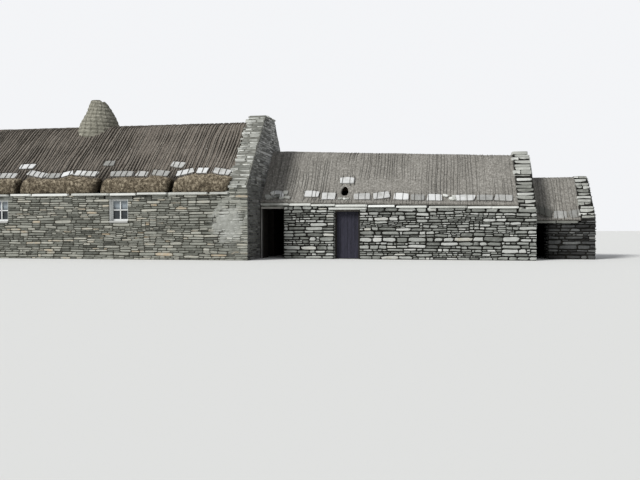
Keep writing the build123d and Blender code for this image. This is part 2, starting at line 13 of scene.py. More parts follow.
import bpy
import numpy as np
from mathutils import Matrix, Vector


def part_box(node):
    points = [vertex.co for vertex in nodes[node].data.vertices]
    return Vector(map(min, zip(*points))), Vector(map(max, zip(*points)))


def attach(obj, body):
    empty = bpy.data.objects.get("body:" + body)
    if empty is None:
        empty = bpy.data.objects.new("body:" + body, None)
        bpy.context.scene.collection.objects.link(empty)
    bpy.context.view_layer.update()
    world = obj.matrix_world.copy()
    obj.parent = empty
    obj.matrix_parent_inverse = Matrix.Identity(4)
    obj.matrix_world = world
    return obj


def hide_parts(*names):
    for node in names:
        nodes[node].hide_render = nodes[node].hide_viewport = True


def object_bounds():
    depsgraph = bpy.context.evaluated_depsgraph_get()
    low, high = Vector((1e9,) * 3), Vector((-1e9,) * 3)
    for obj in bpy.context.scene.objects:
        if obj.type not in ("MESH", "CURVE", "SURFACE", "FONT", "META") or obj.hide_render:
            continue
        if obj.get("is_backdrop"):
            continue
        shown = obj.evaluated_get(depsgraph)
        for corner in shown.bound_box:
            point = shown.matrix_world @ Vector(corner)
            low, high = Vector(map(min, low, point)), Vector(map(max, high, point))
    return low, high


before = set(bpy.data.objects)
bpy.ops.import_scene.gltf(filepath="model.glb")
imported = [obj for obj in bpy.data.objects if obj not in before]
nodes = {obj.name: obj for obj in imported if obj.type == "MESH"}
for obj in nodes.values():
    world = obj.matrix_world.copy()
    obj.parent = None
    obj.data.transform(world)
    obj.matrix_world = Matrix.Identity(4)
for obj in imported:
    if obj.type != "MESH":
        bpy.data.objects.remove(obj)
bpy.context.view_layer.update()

# %% [markdown]
# ## Camera, floor and light
#
# The photographer stood in front of the byre, at eye level a little above a metre, and
# looked towards the house. A plain pale floor and an even pale surround keep the eye on
# the building. One large soft lamp stands high on the left, because the real row is lit
# from there and its right-hand faces lie in shade. The surround is brighter for the
# camera than it is as a lamp, so the background is pale and the stone keeps its colour.

# %% Camera
lens = bpy.data.cameras.new("photographer")
lens.lens = 36.56
lens.sensor_width = 36.0
lens.clip_end = 500.0
camera = bpy.data.objects.new("photographer", lens)
camera.location = (7.20, -23.128, 1.051)
camera.rotation_euler = (math.radians(88.94), 0.0, math.radians(10.46))
bpy.context.scene.collection.objects.link(camera)
bpy.context.scene.camera = camera
bpy.context.scene.view_settings.view_transform = "Standard"
print("camera height", camera.location.z)


# %% Colours and node helpers
def paint(red, green, blue):
    """Colour as a screen shows it, 0 to 255, turned into the linear light that shaders use."""
    share = np.array((red, green, blue)) / 255.0
    linear = np.where(share <= 0.04045, share / 12.92, ((share + 0.055) / 1.055) ** 2.4)
    return (*linear.tolist(), 1.0)


def new_finish(name, roughness=0.9, specular=0.25):
    """A material with its shader, ready for a pattern."""
    finish = bpy.data.materials.new(name)
    finish.use_nodes = True
    shader = finish.node_tree.nodes["Principled BSDF"]
    shader.inputs["Roughness"].default_value = roughness
    shader.inputs["Specular IOR Level"].default_value = specular
    return finish, finish.node_tree, shader


def node(tree, kind, settings=(), **sockets):
    """One node: settings are its own choices, sockets are values or links to its inputs."""
    made = tree.nodes.new("ShaderNode" + kind)
    for key, value in dict(settings).items():
        setattr(made, key, value)
    for key, value in sockets.items():
        socket = made.inputs[int(key[1:])] if key[0] == "i" and key[1:].isdigit() else made.inputs[key]
        if isinstance(value, bpy.types.NodeSocket):
            tree.links.new(value, socket)
        else:
            socket.default_value = value
    return made


def ramp(tree, share, stops):
    """Colour that follows a value through (place, colour) stops."""
    made = node(tree, "ValToRGB", Fac=share)
    bar = made.color_ramp.elements
    while len(bar) < len(stops):
        bar.new(0.5)
    for element, (place, colour) in zip(bar, stops):
        element.position = place
        element.color = colour
    return made.outputs["Color"]


def mix(tree, share, one, other, kind="MIX"):
    made = node(tree, "Mix", {"data_type": "RGBA", "blend_type": kind}, i0=share, i6=one, i7=other)
    return made.outputs[2]


def noise(tree, where, scale, detail=4.0, rough=0.6):
    made = node(tree, "TexNoise", Vector=where, Scale=scale, Detail=detail, Roughness=rough)
    return made.outputs["Fac"]


def stretch(tree, where, scale):
    return node(tree, "Mapping", Vector=where, Scale=scale).outputs["Vector"]


def bump(tree, shader, height, strength, distance):
    made = node(tree, "Bump", Height=height, Strength=strength, Distance=distance)
    tree.links.new(made.outputs["Normal"], shader.inputs["Normal"])


print("white paint", paint(255, 255, 255)[0])

# %% Floor, surround and lamp
floor_mesh = bpy.data.meshes.new("floor")
reach = 220.0
floor_mesh.from_pydata(
    [(-reach, -reach, 0), (reach, -reach, 0), (reach, reach, 0), (-reach, reach, 0)], [], [(0, 1, 2, 3)]
)
floor = bpy.data.objects.new("floor", floor_mesh)
bpy.context.scene.collection.objects.link(floor)
floor_finish, tree, shader = new_finish("pale_floor", 0.95, 0.1)
shader.inputs["Base Color"].default_value = paint(222, 222, 218)
floor_mesh.materials.append(floor_finish)
floor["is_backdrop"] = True

world = bpy.data.worlds.new("surround")
bpy.context.scene.world = world
world.use_nodes = True
tree = world.node_tree
light_path = node(tree, "LightPath")
seen = node(tree, "Math", {"operation": "MAXIMUM"}, i0=light_path.outputs["Is Camera Ray"],
            i1=light_path.outputs["Is Glossy Ray"]).outputs[0]
seen = node(tree, "Math", {"operation": "MAXIMUM"}, i0=seen,
            i1=light_path.outputs["Is Transmission Ray"]).outputs[0]
surround = mix(tree, seen, (0.37, 0.38, 0.41, 1.0), (0.90, 0.91, 0.93, 1.0))
tree.links.new(surround, tree.nodes["Background"].inputs["Color"])

lamp = bpy.data.lights.new("soft_sun", "SUN")
lamp.energy = 3.3
lamp.angle = math.radians(17.0)
lamp_object = bpy.data.objects.new("soft_sun", lamp)
lamp_object.rotation_euler = (math.radians(52.0), 0.0, math.radians(-42.0))
bpy.context.scene.collection.objects.link(lamp_object)
print("lamp", lamp.energy)

# %% [markdown]
# ## How pieces are made
#
# Every new piece is computed with numpy as whole arrays of points, and then put into a
# mesh in one go. Three forms cover the whole building: a sheet with an underside, which
# makes thatch and bolsters; a closed tube along a path, which makes ropes; and a rough
# lump, which makes slabs and loose stones. Random numbers come from a seeded generator,
# so that the same row is built on every run.


# %% Mesh from arrays
def make_piece(name, finish, points, faces, body="building", smooth=False, values=(), uv=None):
    """Puts arrays into a mesh. points is (n, 3), faces is a list of index arrays whose rows
    have 3 or 4 corners, values are named numbers per point, uv is (n, 2) in metres."""
    mesh = bpy.data.meshes.new(name)
    points = np.asarray(points, np.float32).reshape(-1, 3)
    corners = np.concatenate([f.ravel() for f in faces]).astype(np.int32)
    sizes = np.concatenate([np.full(len(f), f.shape[1]) for f in faces])
    starts = np.concatenate([[0], np.cumsum(sizes)[:-1]]).astype(np.int32)
    mesh.vertices.add(len(points))
    mesh.vertices.foreach_set("co", points.ravel())
    mesh.loops.add(len(corners))
    mesh.loops.foreach_set("vertex_index", corners)
    mesh.polygons.add(len(starts))
    mesh.polygons.foreach_set("loop_start", starts)
    mesh.polygons.foreach_set("use_smooth", np.full(len(starts), smooth))
    for key, numbers in dict(values).items():
        layer = mesh.attributes.new(key, "FLOAT", "POINT")
        layer.data.foreach_set("value", np.asarray(numbers, np.float32).ravel())
    if uv is not None:
        layer = mesh.uv_layers.new(name="straw")
        layer.data.foreach_set("uv", np.asarray(uv, np.float32)[corners].ravel())
    mesh.update(calc_edges=True)
    mesh.validate()
    mesh.materials.append(finish)
    piece = bpy.data.objects.new(name, mesh)
    bpy.context.scene.collection.objects.link(piece)
    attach(piece, body)
    print(name, "triangles", int((sizes - 2).sum()))
    return piece


def grid_faces(rows, columns, wrap_rows=False, wrap_columns=False, start=0):
    """Quads between neighbouring points of a grid numbered row by row."""
    row = np.arange(rows if wrap_rows else rows - 1)
    column = np.arange(columns if wrap_columns else columns - 1)
    r, c = np.meshgrid(row, column, indexing="ij")
    r1, c1 = (r + 1) % rows, (c + 1) % columns
    quads = np.stack([r * columns + c, r * columns + c1, r1 * columns + c1, r1 * columns + c], axis=-1)
    return quads.reshape(-1, 4) + start


def wobble(points, size, seed):
    """Smooth random field from -1 to 1: random values at the corners of a cubic lattice,
    blended across each cell with the smooth step 3t^2 - 2t^3."""
    table = np.random.default_rng(seed).uniform(-1, 1, (32, 32, 32))
    place = np.asarray(points) / size
    cell = np.floor(place).astype(int)
    t = place - cell
    t = t * t * (3 - 2 * t)
    total = np.zeros(place.shape[:-1])
    for corner in np.ndindex(2, 2, 2):
        weight = np.prod(np.where(corner, t, 1 - t), axis=-1)
        index = (cell + np.array(corner)) % 32
        total += weight * table[index[..., 0], index[..., 1], index[..., 2]]
    return total


def shell(outer, inner):
    """Closed body between two grids of the same shape, whose points have the same order."""
    rows, columns = outer.shape[:2]
    shift = rows * columns
    quads = [grid_faces(rows, columns)[:, ::-1], grid_faces(rows, columns) + shift]
    r, c = np.arange(rows), np.arange(columns)
    edges = [r * columns, (rows - 1) * columns + c, (r * columns + columns - 1)[::-1], c[::-1]]
    for edge in edges:
        a, b = edge[:-1], edge[1:]
        quads.append(np.stack([b, a, a + shift, b + shift], axis=1))
    return np.concatenate([outer.reshape(-1, 3), inner.reshape(-1, 3)]), np.concatenate(quads)


# %% [markdown]
# ## The wall stones
#
# The walls are flat-bedded rubble. A picture of stones on a flat wall would look dead
# from the side, so each stone is a small cushion of its own that stands out of the dark
# core. They are laid as a mason lays them: always on the lowest place of the wall so far,
# as long as the space there allows, often made level with the stone beside it.


# %% Laying stones
def lay_stones(rng, length, top, base=None, holes=(), wide=(0.10, 0.55), tall=(0.05, 0.14), flat=3.2):
    """Rows of (start, end, foot, head) for the stones of one wall face. The wall is cut into
    2 cm columns with a running height; the next stone goes on the lowest run of columns that
    are level with each other. top and base are heights as functions of the place along the
    wall, and holes are (start, end, foot, head). flat is a stone's usual length over height."""
    step = 0.02
    place = (np.arange(int(round(length / step))) + 0.5) * step
    limit = top(place)
    level = np.zeros(len(place)) if base is None else base(place)
    stones = []
    while True:
        for start, end, foot, head in holes:
            through = (place > start) & (place < end) & (level > foot - 0.001) & (level < head)
            level[through] = head
        free = limit - level > tall[0] * 0.7
        if not free.any():
            return np.array(stones)
        lowest = int(np.argmin(np.where(free, level, 99.0)))
        floor_here = level[lowest]
        ceiling = limit.copy()
        shut = ~free | (np.abs(level - floor_here) > 0.012)
        for start, end, foot, head in holes:
            inside = (place > start) & (place < end)
            ceiling[inside & (level < foot)] = np.minimum(ceiling, foot)[inside & (level < foot)]
            if floor_here + tall[1] > foot and floor_here < head:
                shut |= inside != inside[lowest]
        before = np.flatnonzero(shut[:lowest])
        after = np.flatnonzero(shut[lowest:])
        first = before[-1] + 1 if len(before) else 0
        last = lowest + after[0] if len(after) else len(place)
        bay = last - first
        tall_here = min(tall[0] + (tall[1] - tall[0]) * rng.beta(1.5, 2.4), max(bay * step / 1.2, tall[0]))
        beside = [level[first - 1] if first else 0.0, level[last] if last < len(place) else 0.0]
        beside = [b - floor_here for b in beside if tall[0] * 0.8 < b - floor_here < tall[1] * 1.1]
        if beside and rng.random() < 0.85:
            tall_here = beside[rng.integers(len(beside))]
        count = int(np.clip(tall_here * flat * rng.uniform(0.5, 1.7), wide[0], wide[1]) / step)
        if bay - count < wide[0] / step:
            count = bay if bay * step < wide[1] * 1.25 else bay // 2
        begin = first if rng.random() < 0.5 else last - count
        part = slice(begin, begin + count)
        foot_here = level[part].max()
        room = ceiling[part].min() - foot_here
        if room < tall[0] * 0.7:
            level[part] = np.maximum(level[part], np.minimum(ceiling[part], foot_here + tall[0] * 0.7))
            continue
        if room < tall_here + tall[0]:
            tall_here = room if room < tall[1] * 1.4 else room / 2
        stones.append((begin * step, (begin + count) * step, foot_here, foot_here + tall_here))
        level[part] = foot_here + tall_here


SIDES = 12
END_JOINT = np.array((0.6, 1.0))  # the joints at a stone's ends are closer than its beds


def cushion_stones(rng, stones, origin, along, outward, proud=(0.018, 0.045), joint=0.012, depth=0.05,
                   nibble=0.86):
    """Points, faces and a tone for each stone of a face. The outline is a rounded square,
    x = sign(cos a)|cos a|^0.45 and z = sign(sin a)|sin a|^0.45, stretched to the stone and
    nibbled at random, by as much at the ends as at the beds. It goes straight out from
    inside the core, is chamfered at its edge, and its face is tilted a little."""
    count = len(stones)
    half = np.stack([stones[:, 1] - stones[:, 0], stones[:, 3] - stones[:, 2]], axis=1) / 2
    half = np.maximum(half - joint * rng.uniform(0.3, 0.9, (count, 1)) * END_JOINT, 0.012)
    middle = np.stack([stones[:, 0] + stones[:, 1], stones[:, 2] + stones[:, 3]], axis=1) / 2
    angle = np.arange(SIDES) * 2 * np.pi / SIDES + np.pi / SIDES
    outline = np.stack([np.sign(np.cos(angle)) * np.abs(np.cos(angle)) ** 0.45,
                        np.sign(np.sin(angle)) * np.abs(np.sin(angle)) ** 0.45], axis=1)
    bite = 1 - rng.uniform(nibble, 1.03, (count, SIDES, 1))
    reach = np.minimum(half, 1.7 * half.min(axis=1, keepdims=True))[:, None, :]
    rim = outline * (half[:, None, :] - bite * reach)
    inset = np.minimum(0.016, 0.3 * half.min(axis=1))[:, None, None]
    inner = outline * np.maximum(half[:, None, :] - bite * reach - inset, 0.006)
    out = rng.uniform(*proud, (count, 1))
    lean = rng.uniform(-0.35, 0.35, (count, 2))[:, None, :] * (outline * 0.8)
    face_depth = out * (1 + lean.sum(axis=2)) + rng.uniform(-0.004, 0.004, (count, SIDES))
    flat = np.concatenate([rim, rim, inner, np.zeros((count, 1, 2))], axis=1) + middle[:, None, :]
    turn = rng.uniform(-0.03, 0.03, (count, 1))
    local = flat - middle[:, None, :]
    flat = middle[:, None, :] + np.stack([local[..., 0] - turn * local[..., 1],
                                          local[..., 1] + turn * local[..., 0]], axis=-1)
    level = np.concatenate([np.full((count, SIDES), -depth), face_depth * 0.45, face_depth, out * 1.05], axis=1)
    points = (np.asarray(origin, float) + flat[..., :1] * np.asarray(along, float)
              + flat[..., 1:] * np.array((0.0, 0.0, 1.0)) + level[..., None] * np.asarray(outward, float))
    ring = np.arange(SIDES)
    after = (ring + 1) % SIDES
    bands = [np.stack([ring + k, after + k, after + k + SIDES, ring + k + SIDES], axis=1) for k in (0, SIDES)]
    cap = np.stack([ring + 2 * SIDES, after + 2 * SIDES, np.full(SIDES, 3 * SIDES)], axis=1)
    first = (np.arange(count) * (3 * SIDES + 1))[:, None, None]
    quads = (first + np.concatenate(bands)).reshape(-1, 4)
    triangles = (first + cap).reshape(-1, 3)
    if np.cross(np.asarray(along, float), (0, 0, 1.0)) @ np.asarray(outward, float) < 0:
        quads, triangles = quads[:, ::-1], triangles[:, ::-1]
    tone = np.repeat(rng.beta(2.2, 2.2, count), 3 * SIDES + 1)
    return points.reshape(-1, 3), quads, triangles, tone


def join(parts):
    """Joins several (points, quads, triangles, tone) sets into one."""
    shift = np.cumsum([0] + [len(p[0]) for p in parts[:-1]])
    return (np.concatenate([p[0] for p in parts]),
            np.concatenate([p[1] + s for p, s in zip(parts, shift)]),
            np.concatenate([p[2] + s for p, s in zip(parts, shift)]),
            np.concatenate([p[3] for p in parts]))


# %% Stone finishes
def stone_finish(name, stops, stain, stain_share, grain=0.5):
    """Stone whose main colour comes from each stone's tone, mottled by lichen and weather."""
    finish, tree, shader = new_finish(name, 0.92, 0.2)
    where = node(tree, "TexCoord").outputs["Object"]
    tone = node(tree, "Attribute", {"attribute_name": "tone"}).outputs["Fac"]
    mottle = noise(tree, where, 9.0, 6.0, 0.7)
    fine = noise(tree, where, 60.0, 5.0, 0.75)
    blend = node(tree, "Mix", i0=0.34, i2=tone, i3=mottle).outputs[0]
    blend = node(tree, "Mix", i0=0.22, i2=blend, i3=fine).outputs[0]
    colour = ramp(tree, blend, stops)
    patch = ramp(tree, noise(tree, where, 1.7, 5.0, 0.65),
                 ((0.50, (0, 0, 0, 1)), (0.66, (stain_share,) * 3 + (1,))))
    colour = mix(tree, patch, colour, stain)
    tree.links.new(colour, shader.inputs["Base Color"])
    height = node(tree, "Mix", i0=0.5, i2=fine, i3=noise(tree, where, 24.0, 6.0, 0.7)).outputs[0]
    bump(tree, shader, height, grain, 0.02)
    return finish


house_rubble = stone_finish(
    "house_rubble",
    ((0.22, paint(60, 61, 56)), (0.38, paint(108, 109, 101)), (0.52, paint(140, 141, 132)),
     (0.66, paint(172, 171, 160)), (0.78, paint(178, 156, 124))),
    paint(150, 151, 142), 0.4)
dry_rubble = stone_finish(
    "dry_rubble",
    ((0.22, paint(62, 63, 59)), (0.38, paint(122, 124, 118)), (0.52, paint(154, 156, 150)),
     (0.68, paint(192, 193, 188)), (0.84, paint(160, 152, 128))),
    paint(172, 174, 168), 0.4)
gable_rubble = stone_finish(
    "gable_rubble",
    ((0.22, paint(62, 62, 60)), (0.38, paint(118, 119, 116)), (0.54, paint(168, 169, 166)),
     (0.72, paint(222, 222, 218))),
    paint(190, 191, 188), 0.5)


def ragged_patch(finish, centre, size, colour):
    """Lays a ragged patch of another colour round one place over the colour of a finish: pale
    mortar on the house front, and a darker patch on the second door's head.
    """
    tree = finish.node_tree
    shader = tree.nodes["Principled BSDF"]
    under = shader.inputs["Base Color"].links[0].from_socket
    where = node(tree, "TexCoord").outputs["Object"]
    local = node(tree, "Mapping", Vector=where, Location=[-c / s for c, s in zip(centre, size)],
                 Scale=[1 / s for s in size]).outputs["Vector"]
    away = node(tree, "VectorMath", {"operation": "LENGTH"}, i0=local).outputs["Value"]
    ragged = node(tree, "Mix", i0=0.5, i2=away, i3=noise(tree, where, 6.0, 6.0, 0.7)).outputs[0]
    share = ramp(tree, ragged, ((0.40, (0.85, 0.85, 0.85, 1)), (0.64, (0, 0, 0, 1))))
    tree.links.new(mix(tree, share, under, colour), shader.inputs["Base Color"])


ragged_patch(house_rubble, (0.45, -2.95, 1.15), (0.80, 0.6, 0.95), paint(182, 183, 177))


def lay_painted_shade(finish, limits, colour, most=1.0):
    """Lays painted shade, a dark colour, over the part of a finish that is past every limit. A limit
    (axis, start, end) is 0 at start and 1 at end, and most is the share where all are 1."""
    tree = finish.node_tree
    shader = tree.nodes["Principled BSDF"]
    under = shader.inputs["Base Color"].links[0].from_socket
    place = node(tree, "SeparateXYZ", Vector=node(tree, "TexCoord").outputs["Object"])
    share = most
    for axis, start, end in limits:
        past = node(tree, "MapRange", Value=place.outputs[axis], i1=start, i2=end).outputs["Result"]
        share = node(tree, "Math", {"operation": "MULTIPLY"}, i0=past, i1=share).outputs[0]
    tree.links.new(mix(tree, share, under, colour), shader.inputs["Base Color"])


# Painted shade: the gable's side face darkens towards its foot, by up to 0.70 below 2.20 m.
lay_painted_shade(gable_rubble, (("Z", 3.95, 2.20),), paint(22, 21, 20), most=0.70)


def core_finish(name, dark, pale, scale):
    """Earth and small packing stones, which show as the joints between the face stones."""
    finish, tree, shader = new_finish(name, 0.98, 0.1)
    where = node(tree, "TexCoord").outputs["Object"]
    flatten = stretch(tree, where, (1.0, 1.0, 2.6))
    cells = node(tree, "TexVoronoi", {"feature": "F1"}, Vector=flatten, Scale=scale)
    grain = noise(tree, where, 30.0, 6.0, 0.75)
    share = node(tree, "Mix", i0=0.55, i2=cells.outputs["Distance"], i3=grain).outputs[0]
    tree.links.new(ramp(tree, share, ((0.25, dark), (0.75, pale))), shader.inputs["Base Color"])
    bump(tree, shader, share, 0.7, 0.04)
    return finish


# Painted shade: a darker copy of the dry rubble for the store's front, which lies in the shadow of the byre's gable.
shaded_rubble = stone_finish(
    "store_front_rubble_painted_shade",
    ((0.22, paint(24, 24, 24)), (0.38, paint(48, 48, 47)), (0.52, paint(76, 77, 76)),
     (0.68, paint(112, 113, 111)), (0.84, paint(80, 76, 68))),
    paint(66, 67, 64), 0.4)
house_core = core_finish("house_wall_core", paint(44, 43, 38), paint(80, 78, 70), 7.0)
gable_core = core_finish("gable_core", paint(92, 92, 86), paint(128, 128, 120), 7.0)
dry_core = core_finish("dry_wall_core", paint(14, 14, 12), paint(42, 41, 37), 6.0)
print("stone finishes ready")

# %% [markdown]
# ## Where the walls stand
#
# The wall faces are read from the CAD nodes, so that the stones lie on them. The wall
# heads of the byre fall a little to the right, as its roof does.

# %% Places of the three ranges
house_lo, house_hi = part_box("house_left_gable")[0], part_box("house_right_gable")[1]
byre_lo, byre_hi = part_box("byre_back_wall")[0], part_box("byre_gable")[1]
store_lo, store_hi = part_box("store_back_wall")[0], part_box("store_gable")[1]
back_y = house_hi.y
house_x0, house_x1 = house_lo.x, house_hi.x
byre_x1, store_x1 = byre_hi.x, store_hi.x
house_y, byre_y, store_y = house_lo.y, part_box("byre_gable")[0].y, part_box("store_gable")[0].y
house_in0, house_in1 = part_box("house_front_wall")[0].x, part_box("house_front_wall")[1].x
byre_in1, store_in1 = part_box("byre_gable")[0].x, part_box("store_gable")[0].x
house_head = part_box("house_front_wall")[1].z
store_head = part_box("store_front_wall")[1].z
GABLES = {
    "house": (house_y, 2.45, 5.07, 1.2),
    "byre": (byre_y, 1.70, 3.67, 0.8),
    "store": (store_y, 1.44, 2.87, 0.6),
}


def byre_share(x):
    return (np.asarray(x, float) - house_x1) / (byre_x1 - house_x1)


def byre_head(x):
    """The byre's wall head falls from 1.85 m at the house to 1.69 m at its gable."""
    return 1.85 - 0.16 * byre_share(x)


def gable_top(name, y):
    """Height of a gable at a place across it: up to the shoulder, along the slope, then flat."""
    front, shoulder, crown, width = GABLES[name]
    middle = (front + back_y) / 2
    return np.interp(y, (front, middle - width / 2, middle + width / 2, back_y),
                     (shoulder, crown, crown, shoulder))


print("house", round(house_x0, 2), round(house_x1, 2), "byre to", round(byre_x1, 2), "store to", round(store_x1, 2))


# %% [markdown]
# ## The outside of the thatch
#
# Each roof is one sheet that runs from the front eaves over a rounded ridge to the back
# eaves. Its line across the range is known: a straight slope from the brow up to half a
# metre from the middle, then an arc that is level at the ridge. The byre and the store
# have rounded eaves below the brow. On the house the brow rests on straw bolsters.

# %% Roof lines
RIDGE_HALF, RIDGE_DROP = 0.5, 0.14


class RoofLine:
    """The thatch's outside. foot, brow and ridge are heights at the left and right end."""

    def __init__(self, left, right, front, brow_in, foot, brow, ridge, round_eaves):
        self.left, self.right, self.front, self.brow_in = left, right, front, brow_in
        self.ends = np.array((foot, brow, ridge))
        self.half = (back_y - front) / 2
        crown = self.half - RIDGE_HALF
        slope = np.linspace(0, 1, 12)
        arc = np.linspace(0, 1, 7)[1:]
        radius = (RIDGE_HALF ** 2 + RIDGE_DROP ** 2) / (2 * RIDGE_DROP)
        away = RIDGE_HALF * (1 - arc)
        inward = np.concatenate([brow_in + (crown - brow_in) * slope, self.half - away])
        fall = np.sqrt(radius ** 2 - away ** 2) - radius
        # rows: shares of foot, brow and ridge, and a fixed drop
        parts = [np.stack([0 * slope, 1 - slope, slope, -RIDGE_DROP * slope]),
                 np.stack([0 * arc, 0 * arc, 1 + 0 * arc, fall])]
        if round_eaves:
            bend = np.linspace(0, 1, 7)[:-1]
            toe, bulge = 0.03, -0.015
            control = 2 * bulge - (toe + brow_in) / 2
            eaves = (1 - bend) ** 2 * toe + 2 * bend * (1 - bend) * control + bend ** 2 * brow_in
            inward = np.concatenate([eaves, inward])
            parts.insert(0, np.stack([1 - bend, bend, 0 * bend, 0 * bend]))
        self.inward, self.parts = inward, np.concatenate(parts, axis=1)
        height = self.ends.mean(axis=1) @ self.parts[:3] + self.parts[3]
        run = np.concatenate([[0], np.cumsum(np.hypot(np.diff(inward), np.diff(height)))])
        self.knots, self.length = run / run[-1], 2 * run[-1]

    def heights(self, x):
        t = (np.asarray(x, float) - self.left) / (self.right - self.left)
        return self.ends[:, :1] * (1 - t.ravel()) + self.ends[:, 1:] * t.ravel()

    def line(self, x, share):
        """y and z at a place along the range and a share of the way across, front to back."""
        x, share = np.broadcast_arrays(np.asarray(x, float), np.asarray(share, float))
        up = 1 - np.abs(2 * share - 1)
        inward = np.interp(up, self.knots, self.inward)
        foot, brow, ridge = (h.reshape(x.shape) for h in self.heights(x))
        weights = [np.interp(up, self.knots, part) for part in self.parts]
        z = weights[0] * foot + weights[1] * brow + weights[2] * ridge + weights[3]
        return np.where(share < 0.5, self.front + inward, back_y - inward), z

    def point(self, x, share, lift=0.0):
        """Points lifted off the thatch, square to it."""
        x, share = np.broadcast_arrays(np.asarray(x, float), np.asarray(share, float))
        y, z = self.line(x, share)
        y0, z0 = self.line(x, np.clip(share - 0.004, 0, 1))
        y1, z1 = self.line(x, np.clip(share + 0.004, 0, 1))
        run = np.hypot(y1 - y0, z1 - z0)
        return np.stack([x, y - lift * (z1 - z0) / run, z + lift * (y1 - y0) / run], axis=-1)

    def share_at(self, inward, side=1):
        """Share across for a distance in from a wall face: side 1 is the front, -1 the back."""
        start = int(np.argmax(self.inward >= self.brow_in - 1e-9))
        up = np.interp(inward, self.inward[start:], self.knots[start:])
        return up / 2 if side > 0 else 1 - up / 2

    def slope_point(self, x, inward, side=1, lift=0.0):
        """A point of the slope by its level distance in from the wall face. Outside the brow
        the slope goes straight on."""
        at = lambda level: self.point(x, self.share_at(level, side), lift)
        brow = self.brow_in + 0 * np.asarray(inward, float)
        short = np.minimum(inward - brow, 0.0)[..., None]
        return at(np.maximum(inward, brow)) + (at(brow + 0.1) - at(brow)) * short / 0.1

    def height_at(self, x, y):
        inward = np.minimum(y - self.front, back_y - y)
        return self.line(x, self.share_at(np.clip(inward, self.brow_in, self.half)))[1]


house_roof = RoofLine(house_in0, house_in1, house_y, 0.25, (2.215, 2.215), (2.707, 2.707), (4.90, 4.90), False)
byre_roof = RoofLine(house_x1, byre_in1, byre_y, 0.15, (1.905, 1.755), (2.07, 1.90), (3.93, 3.62), True)
store_roof = RoofLine(byre_x1, store_in1, store_y, 0.11, (1.295, 1.295), (1.42, 1.42), (2.86, 2.86), True)
for name, roof in (("house", house_roof), ("byre", byre_roof), ("store", store_roof)):
    low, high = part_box(name + "_thatch_front")
    print(name, "ridge", np.round(roof.line([roof.left, roof.right], [0.5, 0.5])[1], 3), "CAD", round(high.z, 3),
          "across", round(roof.length, 2))

# %% [markdown]
# ## Stone faces of the house
#
# The house wall is tight, thin-bedded rubble with mortar in its joints, so its stones are
# small, close and lie nearly level with each other. The gable that meets the byre is
# roughly pointed, and shows only above the byre's roof and in front of it.

# %% Stones of the house
rng = np.random.default_rng(11)
WRAP = 0.03
LEFT, RIGHT, TOWARDS, AWAY = (-1, 0, 0), (1, 0, 0), (0, -1, 0), (0, 1, 0)
house_middle = (house_x0 + house_x1) / 2
windows = [(b[0].x, b[1].x) for b in [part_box("window_frames")]]
frame_lo, frame_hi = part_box("window_frames")
window_width = 0.66
window_places = (frame_lo.x + window_width / 2, frame_hi.x - window_width / 2)
sill_foot, window_top = 1.23, frame_hi.z
LINTEL_REACH = 0.20


def house_holes(start):
    """Window openings and the long stones over them, measured along the front."""
    holes = []
    for x in window_places:
        left, right = x - window_width / 2 - start, x + window_width / 2 - start
        holes.append((left, right, sill_foot, window_top))
        holes.append((left - LINTEL_REACH, right + LINTEL_REACH, window_top, house_head))
    return holes


def house_face_top(start, direction):
    """Top of the stones along the house: the wall head, and the gable ends a little higher."""
    def top(s):
        x = start + direction * s
        return np.where((x < house_in0) | (x > house_in1), 2.36, house_head)
    return top


def along_gable(name, y_start, direction):
    return lambda s: gable_top(name, y_start + direction * s) - 0.03


fine_size = {"wide": (0.12, 0.62), "tall": (0.045, 0.115), "flat": 4.2}
house_proud = {"proud": (0.010, 0.030), "joint": 0.014}
start = house_x0 - WRAP
front_stones = lay_stones(rng, house_x1 - start + WRAP, house_face_top(start, 1), holes=house_holes(start),
                          **fine_size)
front = cushion_stones(rng, front_stones, (start, house_y, 0), RIGHT, TOWARDS, **house_proud)
make_piece("house_front_stones", house_rubble, front[0], front[1:3], values={"tone": front[3]})
back_stones = lay_stones(rng, house_x1 - house_x0 + WRAP, house_face_top(house_x1, -1), **fine_size)
back = cushion_stones(rng, back_stones, (house_x1, back_y, 0), LEFT, AWAY, **house_proud)
make_piece("house_back_stones", house_rubble, back[0], back[1:3], values={"tone": back[3]})
left_stones = lay_stones(rng, back_y - house_y, along_gable("house", back_y, -1), **fine_size)
left = cushion_stones(rng, left_stones, (house_x0, back_y, 0), TOWARDS, LEFT, **house_proud)
make_piece("house_left_gable_stones", house_rubble, left[0], left[1:3], values={"tone": left[3]})


def over_roof(roof, x, y):
    """Where stones begin over a lower roof: in level steps, sunk up to 0.20 m in its thatch.
    In front of that roof they begin at the floor."""
    height = roof.height_at(x, np.maximum(y, roof.front))
    return np.where(y < roof.front, 0.0, np.floor(height / 0.20) * 0.20)


def above_byre(s):
    return over_roof(byre_roof, house_x1, house_y + s)


right_stones = lay_stones(rng, back_y - house_y, along_gable("house", house_y, 1), base=above_byre, **fine_size)
right = cushion_stones(rng, right_stones, (house_x1, house_y, 0), AWAY, RIGHT, (0.005, 0.019), joint=0.012)
make_piece("house_right_gable_stones", gable_rubble, right[0], right[1:3],
           values={"tone": right[3]})
print("house stones", len(front_stones) + len(back_stones) + len(left_stones) + len(right_stones))

# %% [markdown]
# ## Mortar on the gable front
#
# The front end of the shared gable has been smeared with mortar more than once, so its
# stones sink into a pale skin there and only the proudest come through. The skin is a thin
# closed sheet that waves in and out of the stone faces.


